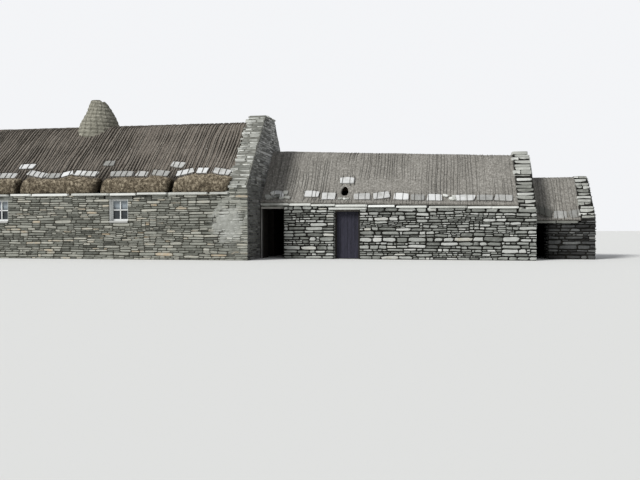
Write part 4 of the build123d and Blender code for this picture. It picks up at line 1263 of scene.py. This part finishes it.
roof_ropes("house_ropes", house_weights, house_rope, 51, 0.110, 0.030, 0.006, 90, gullies=GULLIES)
roof_ropes("byre_ropes", byre_weights, pale_rope, 53, 0.105, 0.015, -0.004, 90, spread=0.35,
           part=(vent_x, vent_run), start_share=0.012, darkest=0.84)
roof_ropes("store_ropes", store_weights, pale_rope, 57, 0.105, 0.015, -0.004, 60, spread=0.35, start_share=0.015,
           darkest=0.88)

# %% [markdown]
# ## Straw bolsters at the house eaves
#
# Under the brow of the house thatch, fat pillows of straw sit on the wall head. They are
# parted by narrow dark gullies where rainwater runs off. Each pillow is one closed form:
# a round cross-section carried along the eaves, drawn in at both ends like a bolster. Its
# top follows the wavy line of the weight stones, and loose straw ends stick out all over.

# %% Bolsters
PILLOW_IN, PILLOW_Z, PILLOW_OUT, PILLOW_DOWN, PILLOW_TURNS = 0.165, 2.515, 0.235, 0.315, 26


def stone_line(x):
    """How far in from the brow the lowest course of house weight stones begins."""
    rows = house_weights.rows[house_weights.rows[:, 2] < house_roof.brow_in + 0.30]
    places = np.concatenate([rows[:, 0] - rows[:, 1] / 2, rows[:, 0] + rows[:, 1] / 2])
    inward = np.concatenate([rows[:, 2], rows[:, 3]]) - house_roof.brow_in
    order = np.argsort(places)
    return np.interp(x, places[order], inward[order])


def pillows(spans, roof, seed):
    """For the place t along a pillow and the turn a round it, the point is
    centre + fill(t) (out cos a, up sin a), with fill = (1 - |2t - 1|^18)^(1/3) and a greater
    up above the centre than below it. The surface is made shaggy with wobble in three sizes.
    Both ends close in a point."""
    turns = PILLOW_TURNS
    slope = (roof.ends[2, 0] - RIDGE_DROP - roof.ends[1, 0]) / (roof.half - RIDGE_HALF - roof.brow_in)
    sets, faces = [], []
    for side in (1, -1):
        wall = roof.front if side > 0 else back_y
        for left, right in spans:
            t = (1 - np.cos(np.linspace(0.0, np.pi, int((right - left) / 0.035) + 2)[1:-1])) / 2
            a = (np.arange(turns) * 2 * np.pi / turns)[None, :]
            x = (left + (right - left) * t)[:, None]
            fill = np.maximum(1 - np.abs(2 * t - 1) ** 18, 0.0)[:, None] ** 0.33
            swell = 1 + 0.05 * wobble(np.stack([x[:, 0], 0 * t, 0 * t], -1), 0.5, seed)[:, None]
            over = stone_line(x)
            rise = roof.ends[1, 0] + slope * over - 0.01 - PILLOW_Z
            square = np.where(np.sin(a) > 0, 0.70, 0.36)
            out = np.sign(np.cos(a)) * np.abs(np.cos(a)) ** square * PILLOW_OUT * fill * swell
            climb = np.sign(np.sin(a)) * np.abs(np.sin(a)) ** 0.75
            up = climb * np.where(climb > 0, rise, PILLOW_DOWN) * fill ** 0.45
            lean_in = (roof.brow_in + over - 0.02 - PILLOW_IN) * np.clip(climb, 0, 1) ** 2
            inward = PILLOW_IN - out + lean_in
            flat = np.stack([x + 0.28 * up, wall + side * inward, PILLOW_Z + up], axis=-1)
            centre = np.stack(np.broadcast_arrays(x, wall + side * PILLOW_IN, PILLOW_Z + 0 * up), axis=-1)
            away = flat - centre
            away /= np.linalg.norm(away, axis=-1, keepdims=True) + 1e-6
            shag = (0.028 * wobble(flat, 0.34, seed + 1) + 0.014 * wobble(flat, 0.09, seed + 2)
                    + 0.012 * wobble(flat, 0.04, seed + 3))
            points = flat + away * (shag * fill)[..., None]
            points[..., 2] = np.maximum(points[..., 2], 2.205)
            rows = len(t)
            ends = np.array([centre[0, 0] * (0, 1, 1) + (left, 0, 0), centre[-1, 0] * (0, 1, 1) + (right, 0, 0)])
            quads = grid_faces(rows, turns, wrap_columns=True)
            k = np.arange(turns)
            after = (k + 1) % turns
            caps = np.concatenate([np.stack([after, k, np.full(turns, rows * turns)], 1),
                                   np.stack([k, after, np.full(turns, rows * turns + 1)], 1)
                                   + np.array([(rows - 1) * turns, (rows - 1) * turns, 0])])
            if side > 0:
                quads, caps = quads[:, ::-1], caps[:, ::-1]
            # Painted shade: each pillow darkens towards its drawn-in ends and on its underside and is lightest on
            # top; the two end points carry 0.3.
            shade = 0.40 + 0.60 * fill ** 2
            tone = shade * (0.74 + 0.26 * (np.sin(a) + 1) / 2)
            uv = np.stack([points[..., 0], 0.3 * a + 0 * x], -1).reshape(-1, 2)
            sets.append((np.concatenate([points.reshape(-1, 3), ends]), quads, caps,
                         np.concatenate([tone.ravel(), (0.3, 0.3)]), np.concatenate([uv, (uv[0], uv[-1])])))
            faces.append((points, away, tone))
    return join([s[:4] for s in sets]), np.concatenate([s[4] for s in sets]), faces


def straw_ends(rng, faces, count):
    """Loose straws: three-sided closed spikes that start in the surface and lean downhill.
    Their foot is a triangle of the given thickness round the axis, and the tip is a point."""
    sets = []
    for points, away, tone in faces:
        rows, turns = points.shape[:2]
        number = int(count * rows)
        r, c = rng.integers(1, rows - 1, number), rng.integers(0, turns, number)
        seen = (away[r, c, 2] > -0.75) & (np.abs(points[r, c, 1] - back_y / 2 - house_y / 2) > 2.45)
        r, c = r[seen], c[seen]
        number = len(r)
        foot = points[r, c] + rng.uniform(-0.02, 0.02, (number, 3)) - away[r, c] * 0.012
        way = 0.55 * away[r, c] + (0, 0, -0.75) + rng.uniform(-0.45, 0.45, (number, 3))
        way /= np.linalg.norm(way, axis=1, keepdims=True)
        across = np.cross(way, (1.0, 0.1, 0.05))
        across /= np.linalg.norm(across, axis=1, keepdims=True)
        other = np.cross(way, across)
        thick = rng.uniform(0.003, 0.007, (number, 1))
        spin = 2 * np.pi * np.arange(3) / 3
        base = [foot + thick * (np.cos(s) * across + np.sin(s) * other) for s in spin]
        tip = foot + way * rng.uniform(0.05, 0.11, (number, 1))
        corners = np.stack(base + [tip], axis=1)
        triangles = np.array([(0, 1, 3), (1, 2, 3), (2, 0, 3), (2, 1, 0)])
        first = (np.arange(number) * 4)[:, None, None]
        # Each straw takes the painted shade of the pillow where it starts, times a random share.
        shade = np.clip(tone[r, c] * rng.uniform(0.7, 1.5, number), 0, 1)
        sets.append((corners.reshape(-1, 3), np.zeros((0, 4), int), (first + triangles).reshape(-1, 3),
                     np.repeat(shade, 4)))
    return join(sets)


edges = np.concatenate([[house_in0 - 0.02], GULLIES, [house_in1 + 0.02]])
gaps = np.concatenate([[0.0], np.full(len(GULLIES), 0.08), [0.0]])
spans = [(edges[n] + gaps[n], edges[n + 1] - gaps[n + 1]) for n in range(len(edges) - 1)]
bolsters, bolster_uv, pillow_faces = pillows(spans, house_roof, 62)
straw = make_piece("straw_bolsters", bolster_straw, bolsters[0], bolsters[1:3], smooth=True,
                   values={"tone": bolsters[3]}, uv=bolster_uv)
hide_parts("house_eaves_bolsters")
ends = straw_ends(np.random.default_rng(61), pillow_faces, 14)
make_piece("loose_straw", bolster_straw, ends[0], [ends[2]], values={"tone": ends[3]},
           uv=ends[0][:, [0, 2]])

# %% [markdown]
# ## Wall-head flags and lintels
#
# A course of thin flagstones covers every wall head and throws a dark line of shade on
# the stones under it. Their ends and fronts are uneven, so each is a lump of its own.


# %% Flags
def flag_course(rng, x0, x1, front, head_at, longest, thick=0.078, deep=0.47, over=0.095):
    """Slabs end to end along the front and the back wall head, which follow its slope."""
    centres, halves, frames = [], [], []
    for side, face in ((1, front), (-1, back_y)):
        place = x0
        while place < x1 - 0.12:
            run = min(rng.uniform(0.45, longest), x1 - place)
            middle = place + run / 2
            push = rng.uniform(-0.025, 0.012)
            y = face + side * (deep / 2 - over - push)
            centres.append((middle, y, float(head_at(middle)) + 0.060 - thick / 2 + rng.uniform(-0.012, 0.010)))
            halves.append((run / 2 + 0.014, deep / 2, thick / 2 * rng.uniform(0.85, 1.1)))
            fall = float(head_at(middle + 0.5) - head_at(middle - 0.5))
            frames.append(tilted((1, 0, fall), (0, 0, 1.0)))
            place += run
    return lumps(rng, np.array(centres), np.array(halves), np.array(frames), square=0.2, rough=0.035)


def sagging_head(x):
    """The byre's flags have sunk a little in the middle of the wall."""
    return byre_head(x) - 0.035 * np.exp(-((x - house_x1 - 5.4) / 1.8) ** 2)


rng = np.random.default_rng(71)
flags = {
    "house": flag_course(rng, house_in0, house_in1, house_y, lambda x: house_head + 0 * x, longest=1.5),
    "byre": flag_course(rng, house_x1, byre_in1, byre_y, sagging_head, longest=1.3),
    "store": flag_course(rng, byre_x1, store_in1, store_y, lambda x: store_head + 0 * x, longest=0.9),
}
flag_pale = stone_finish(
    "wall_head_flag",
    ((0.20, paint(146, 147, 140)), (0.38, paint(196, 197, 190)), (0.54, paint(218, 219, 213)),
     (0.72, paint(236, 237, 232)), (0.88, paint(206, 200, 180))),
    paint(212, 213, 206), 0.4)
flag_dull = stone_finish(
    "store_head_flag",
    ((0.20, paint(60, 61, 57)), (0.45, paint(112, 113, 106)), (0.70, paint(150, 151, 144)),
     (0.88, paint(122, 126, 92))),
    paint(92, 100, 66), 0.6)
for name, slabs in flags.items():
    over_passage = np.clip((passage_x1 + 0.2 - slabs[0][:, 0]) / 0.2, 0, 1) * (name == "byre")
    course = make_piece(name + "_flags", flag_dull if name == "store" else flag_pale,
                        slabs[0], slabs[1:3], values={"tone": slabs[3] - 0.40 * over_passage})
    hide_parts(name + "_wall_head_flags")

lintel_rows = [((3.43 + 4.79) / 2, byre_y + 0.28, 1.705, 0.68, 0.345, 0.036),
               ((house_x1 + 2.17) / 2, byre_y + 0.35, 1.812, 0.545, 0.35, 0.034)]
for x in window_places:
    lintel_rows.append((x, house_y + 0.30, 2.088, 0.53, 0.33, 0.072))
lintel_rows = np.array(lintel_rows)
slabs = lumps(rng, lintel_rows[:, :3], lintel_rows[:, 3:], square=0.16, rough=0.025)
PASSAGE_SLAB = 1
slab_tone = slabs[3].reshape(len(lintel_rows), -1)
slab_tone[PASSAGE_SLAB] = -0.25
slab_tone[PASSAGE_SLAB + 1:] = -0.1
lintels = make_piece("lintel_slabs", slab_grey, slabs[0], slabs[1:3], values={"tone": slabs[3]})
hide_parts("door_lintels", "window_lintels")

# %% [markdown]
# ## Small stones at the eaves and foot of the vent
#
# A few loose stones fill the corner over the open passage, lie beside the last slabs of
# the byre, and edge the vent.

# %% Loose stones
rng = np.random.default_rng(73)


def heap(rng, x0, x1, roof, count, size, up=(0.0, 0.25)):
    """Small lumps scattered on the front slope between two places."""
    x = rng.uniform(x0, x1, count)
    share = roof.share_at(roof.brow_in + rng.uniform(*up, count))
    middle = roof.point(x, share, 0.03)
    halves = rng.uniform(0.6, 1.0, (count, 3)) * np.array(size)
    spin = rng.uniform(-0.6, 0.6, count)
    along = np.stack([np.cos(spin), np.sin(spin) * 0.7, np.sin(spin) * 0.7], axis=1)
    return lumps(rng, middle, halves, tilted(along, middle - roof.point(x, share)), square=0.4, rough=0.12)


small = join([heap(rng, house_x1 + 0.20, house_x1 + 0.95, byre_roof, 12, (0.13, 0.09, 0.05), (-0.02, 0.20)),
              heap(rng, house_x1 + 6.25, house_x1 + 6.62, byre_roof, 6, (0.10, 0.08, 0.05), (-0.02, 0.16)),
              heap(rng, vent_x - 0.16, vent_x + 0.2, byre_roof, 4, (0.09, 0.05, 0.04), (-0.04, 0.03))])
make_piece("loose_stones", slab_grey, small[0], small[1:3], values={"tone": small[3]})

# %% [markdown]
# ## The straw chimney
#
# The smoke hole is drawn up into a chimney of straw, wound round with ropes and held by a
# net of them. It narrows upwards and is cut off at a slant, with a thick dark rim. It is
# one closed skin: up the outside, over the rim and down the flue.

# %% Chimney
chimney_x, chimney_foot, chimney_top = -5.75, 4.30, 5.88
RISES = np.array((0.0, 0.71, 1.20, 1.70))
LEANS = np.array((0.08, 0.08, 0.085, -0.04))
WIDTHS = np.array((0.90, 0.70, 0.475, 0.215))


def curve_through(places, values, at):
    """Cubic through four points, as a weighted sum of the four values."""
    total = 0.0
    for i in range(4):
        others = [j for j in range(4) if j != i]
        total = total + values[i] * np.prod([(at - places[j]) / (places[i] - places[j]) for j in others], axis=0)
    return total


def chimney_skin(turns=200, rows=64):
    """For the angle a, the outside climbs from just under the thatch to the slanted cut.
    Its radius is the measured one plus the relief: winding ropes every 0.15 m of height,
    and thin dark ropes of the net every twentieth of a turn."""
    a = (np.arange(turns) * 2 * np.pi / turns)[None, :]
    radius = lambda z: curve_through(RISES, WIDTHS, z - chimney_foot)
    lean = lambda z: curve_through(RISES, LEANS, z - chimney_foot)
    slant = math.tan(math.radians(40.0))
    top = np.full(a.shape, chimney_top)
    for _ in range(30):
        x = lean(top) + radius(top) * np.cos(a)
        top = 0.5 * top + 0.5 * np.minimum(chimney_top, chimney_top - slant * (x - 0.21))
    foot = np.full(a.shape, 4.6)
    for _ in range(30):
        y = radius(foot) * np.sin(a)
        away = np.abs(y)
        share = house_roof.share_at(np.clip(house_roof.half - away, 0.35, house_roof.half))
        foot = 0.5 * foot + 0.5 * (house_roof.line(chimney_x + 0 * away, share)[1] - 0.10)
    s = np.linspace(0, 1, rows)[:, None]
    z = foot + (top - foot) * s
    winding = (z - chimney_foot - 0.03 * np.sin(2 * a)) / 0.150
    relief = 0.024 * np.abs(np.sin(np.pi * winding)) ** 0.6 - 0.020
    net = np.abs(((a * 20 / (2 * np.pi) + 0.3 * np.sin(5.0 * z)) + 0.5) % 1 - 0.5) / 0.14
    relief = relief + 0.008 * np.clip(1 - net ** 2, 0, 1)
    place = np.stack([np.cos(a) * radius(z), np.sin(a) * radius(z), z], axis=-1)
    relief = relief + 0.010 * wobble(place, 0.06, 81) + 0.014 * wobble(place, 0.25, 82)
    r = radius(z) + relief * np.clip((1 - s) / 0.12, 0, 1)
    outside = np.stack([chimney_x + lean(z) + r * np.cos(a), r * np.sin(a), z], axis=-1)
    net_here = np.clip(1 - net ** 2, 0, 1) * np.ones_like(z)
    # The tone is painted shade in the grooves between the windings, and lower on the net's darker ropes.
    groove = np.abs(np.sin(np.pi * winding)) ** 0.7
    tone = (0.37 + 0.51 * groove) * (1 - 0.45 * net_here)
    bend = np.linspace(0, np.pi, 9)[1:-1, None]
    thick = 0.05
    edge = outside[-1][None]
    centre = np.array((chimney_x + 0.02, 0.0, 0.0)) * (1, 1, 0)
    inwards = centre + (0, 0, 1) * edge - edge
    inwards[..., 2] = 0
    inwards = inwards / np.linalg.norm(inwards, axis=-1, keepdims=True)
    rim = (edge + inwards * (thick * (1 - np.cos(bend)))[..., None]
           + np.array((0, 0, 1.0)) * (thick * np.sin(bend))[..., None])
    start = rim[-1]
    down = np.linspace(0, 1, 7)[1:, None]
    flue_z = start[None, :, 2] + (4.62 - start[None, :, 2]) * down
    flue_r = np.minimum(np.linalg.norm(start[:, :2] - (chimney_x + 0.02, 0), axis=1)[None], 0.16 + 0.10 * (1 - down))
    turn = np.arctan2(start[:, 1], start[:, 0] - chimney_x - 0.02)[None]
    flue = np.stack([chimney_x + 0.02 + flue_r * np.cos(turn), flue_r * np.sin(turn), flue_z], axis=-1)
    neck = np.stack([chimney_x + 0.33 * np.cos(a), 0.33 * np.sin(a), 4.62 + 0 * a], axis=-1)
    skin = np.concatenate([outside, rim, flue, neck])
    # The rim carries a lower tone, and the flue and its neck are nearly black.
    shade = np.concatenate([tone, np.full(rim.shape[:2], 0.35), np.full(flue.shape[:2], 0.1),
                            np.full(neck.shape[:2], 0.1)])
    uv = np.stack([np.concatenate([a / (2 * np.pi) * 3 + 0 * z, np.repeat(a / 2, len(skin) - rows, axis=0)]),
                   skin[..., 2]], axis=-1)
    return skin, shade, uv


skin, shade, uv = chimney_skin()
rows, turns = skin.shape[:2]
chimney = make_piece("straw_chimney", chimney_straw, skin,
                     [grid_faces(rows, turns, wrap_rows=True, wrap_columns=True)], smooth=True,
                     values={"tone": shade}, uv=uv.reshape(-1, 2))
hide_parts("house_chimney")

# %% [markdown]
# ## Timber, door, windows and iron
#
# Posts and heads are bare, greyed softwood, and their grain runs along the piece. The
# byre's door is made of upright boards with dark joints, painted a slate violet. It is a
# new piece that swings with the door leaf.


# %% Timber finishes
def timber_finish(name, dark, pale, grain, roughness=0.85):
    """Wood grain: a noise drawn out along the grain, with fine splits in the same way."""
    finish, tree, shader = new_finish(name, roughness, 0.25)
    where = node(tree, "TexCoord").outputs["Object"]
    broad = noise(tree, stretch(tree, where, grain), 1.0, 5.0, 0.65)
    fine = noise(tree, stretch(tree, where, tuple(3.5 * g for g in grain)), 1.0, 4.0, 0.7)
    share = node(tree, "Mix", i0=0.4, i2=broad, i3=fine).outputs[0]
    tree.links.new(ramp(tree, share, ((0.32, dark), (0.66, pale))), shader.inputs["Base Color"])
    bump(tree, shader, share, 0.35, 0.01)
    return finish


UPRIGHT, ALONG, ACROSS = (26.0, 26.0, 1.6), (1.6, 26.0, 26.0), (26.0, 1.6, 26.0)
post_wood = timber_finish("weathered_post", paint(104, 103, 100), paint(172, 171, 167), UPRIGHT)
# Painted shade: every post past x = 1.128 m is dark, the inside of the passage post and the byre door's posts.
lay_painted_shade(post_wood, (("X", 1.118, 1.128),), paint(46, 43, 40))
dress(post_wood, "door_posts")
head_wood = timber_finish("weathered_head", paint(150, 147, 140), paint(206, 203, 196), ALONG)
# A darker patch over the head of the byre's second door.
ragged_patch(head_wood, (4.1, -1.3, 1.7), (2.2, 1.5, 1.5), paint(66, 62, 57))
dress(head_wood, "door_heads")
roof_wood = {"ALONG": timber_finish("roof_pole", paint(60, 45, 32), paint(104, 82, 60), ALONG),
             "ACROSS": timber_finish("roof_couple", paint(58, 44, 32), paint(98, 78, 58), ACROSS)}
dress(roof_wood["ALONG"], "house_purlins", "byre_purlins", "store_purlins")
dress(roof_wood["ACROSS"], "house_couples", "house_collars", "byre_couples", "byre_collars", "store_couples")
boards_finish = timber_finish("slate_boards", paint(18, 18, 26), paint(54, 53, 66), UPRIGHT, 0.7)
frame_paint = timber_finish("window_paint", paint(206, 208, 206), paint(232, 233, 230), UPRIGHT, 0.5)
dress(frame_paint, "window_frames")

iron, tree, shader = new_finish("black_iron", 0.6, 0.4)
where = node(tree, "TexCoord").outputs["Object"]
rust = noise(tree, where, 40.0, 6.0, 0.7)
tree.links.new(ramp(tree, rust, ((0.40, paint(38, 36, 36)), (0.70, paint(92, 58, 42)))), shader.inputs["Base Color"])
shader.inputs["Metallic"].default_value = 0.5
bump(tree, shader, rust, 0.3, 0.003)
dress(iron, "door_straps", "door_pintles")

glass, tree, shader = new_finish("old_glass", 0.08, 0.5)
where = node(tree, "TexCoord").outputs["Object"]
ripple = noise(tree, where, 5.0, 3.0, 0.5)
height = node(tree, "SeparateXYZ", Vector=where).outputs["Z"]
upper = node(tree, "MapRange", Value=height, i1=1.62, i2=1.78).outputs["Result"]
# The panes are dark, painted shade for the unlit room behind them, and towards the top they turn pale: a painted
# reflection of the sky.
pane = ramp(tree, ripple, ((0.35, paint(20, 24, 26)), (0.70, paint(46, 52, 56))))
painted_reflection = ramp(tree, upper, ((0.0, (0, 0, 0, 1)), (1.0, (0.55, 0.55, 0.55, 1))))
tree.links.new(mix(tree, painted_reflection, pane, paint(170, 180, 186)), shader.inputs["Base Color"])
bump(tree, shader, ripple, 0.12, 0.02)
dress(glass, "window_glass")
sill = stone_finish("window_sill", ((0.2, paint(170, 170, 166)), (0.6, paint(206, 206, 202)), (0.9, paint(226, 226, 222))),
                    paint(190, 190, 184), 0.3, grain=0.2)
dress(sill, "window_sills")
print("timber, iron and glass dressed")


# %% Boards and bars
def planks(boxes, edge=0.003):
    """Chamfered boxes from rows of two corners: three rings of eight points up the height of
    each, the outline of a box whose corners are cut by edge."""
    low, high = boxes[:, 0], boxes[:, 1]
    centre, half = (low + high) / 2, (high - low) / 2
    corner = np.array([(1, -1), (1, 1), (-1, 1), (-1, -1)])
    outline = []
    for cx, cy in corner:
        first, second = ((cx, cy, 0, 1), (cx, cy, 1, 0)) if cx * cy < 0 else ((cx, cy, 1, 0), (cx, cy, 0, 1))
        outline += [second, first] if cx * cy < 0 else [second, first]
    outline = np.array([(1, -1, 0, 1), (1, 1, 0, 1), (1, 1, 1, 0), (-1, 1, 1, 0), (-1, 1, 0, 1), (-1, -1, 0, 1),
                        (-1, -1, 1, 0), (1, -1, 1, 0)], float)
    rings = []
    for height, pull in ((-1, 1), (-1, 0), (1, 0), (1, 1)):
        x = outline[:, 0] * (half[:, :1] - edge * (outline[:, 2] + pull * (1 - outline[:, 2])))
        y = outline[:, 1] * (half[:, 1:2] - edge * (outline[:, 3] + pull * (1 - outline[:, 3])))
        z = height * (half[:, 2:] - edge * (1 - pull)) + 0 * x
        rings.append(np.stack([x, y, z], axis=-1))
    points = np.concatenate(rings, axis=1) + centre[:, None, :]
    k = np.arange(8)
    after = (k + 1) % 8
    quads = np.concatenate([np.stack([k, after, after + 8, k + 8], 1) + 8 * ring for ring in range(3)])
    lid = np.array([(0, 1, 2, 3), (0, 3, 4, 7), (4, 5, 6, 7)])
    first = (np.arange(len(boxes)) * 32)[:, None, None]
    quads = np.concatenate([quads, lid[:, ::-1], lid + 24])
    return points.reshape(-1, 3), (first + quads).reshape(-1, 4)


door_lo, door_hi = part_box("byre_door")
BOARDS, ledge_deep, board_thick = 6, 0.022, 0.030
board_y0 = door_hi.y - ledge_deep - board_thick
edges = np.linspace(door_lo.x, door_hi.x, BOARDS + 1)
rows = [[(edges[n] + 0.002, board_y0, door_lo.z), (edges[n + 1] - 0.002, board_y0 + board_thick, door_hi.z)]
        for n in range(BOARDS)]
for height in (door_lo.z + 0.12, (door_lo.z + door_hi.z) / 2, door_hi.z - 0.12):
    rows.append([(door_lo.x + 0.004, door_hi.y - ledge_deep, height - 0.055),
                 (door_hi.x - 0.004, door_hi.y, height + 0.055)])
points, quads = planks(np.array(rows))
leaf = make_piece("door_boards", boards_finish, points, [quads], body="door_leaf")
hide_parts("byre_door")

BAR = 0.032
rows = []
for x in window_places:
    middle = (frame_lo.z + frame_hi.z) / 2
    near, far = frame_lo.y - 0.004, frame_lo.y + 0.040
    rows.append([(x - BAR / 2, near, frame_lo.z + 0.05), (x + BAR / 2, far, frame_hi.z - 0.05)])
    rows.append([(x - window_width / 2 + 0.05, near, middle - BAR / 2), (x + window_width / 2 - 0.05, far, middle + BAR / 2)])
points, quads = planks(np.array(rows), 0.004)
make_piece("window_bars", frame_paint, points, [quads])

LINING = 0.012
rows = []
for x in window_places:
    for edge in (x - window_width / 2, x + window_width / 2 - LINING):
        rows.append([(edge, house_y - 0.006, frame_lo.z + 0.004), (edge + LINING, frame_lo.y - 0.002, frame_hi.z - 0.004)])
points, quads = planks(np.array(rows), 0.003)
make_piece("window_linings", frame_paint, points, [quads])

low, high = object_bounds()
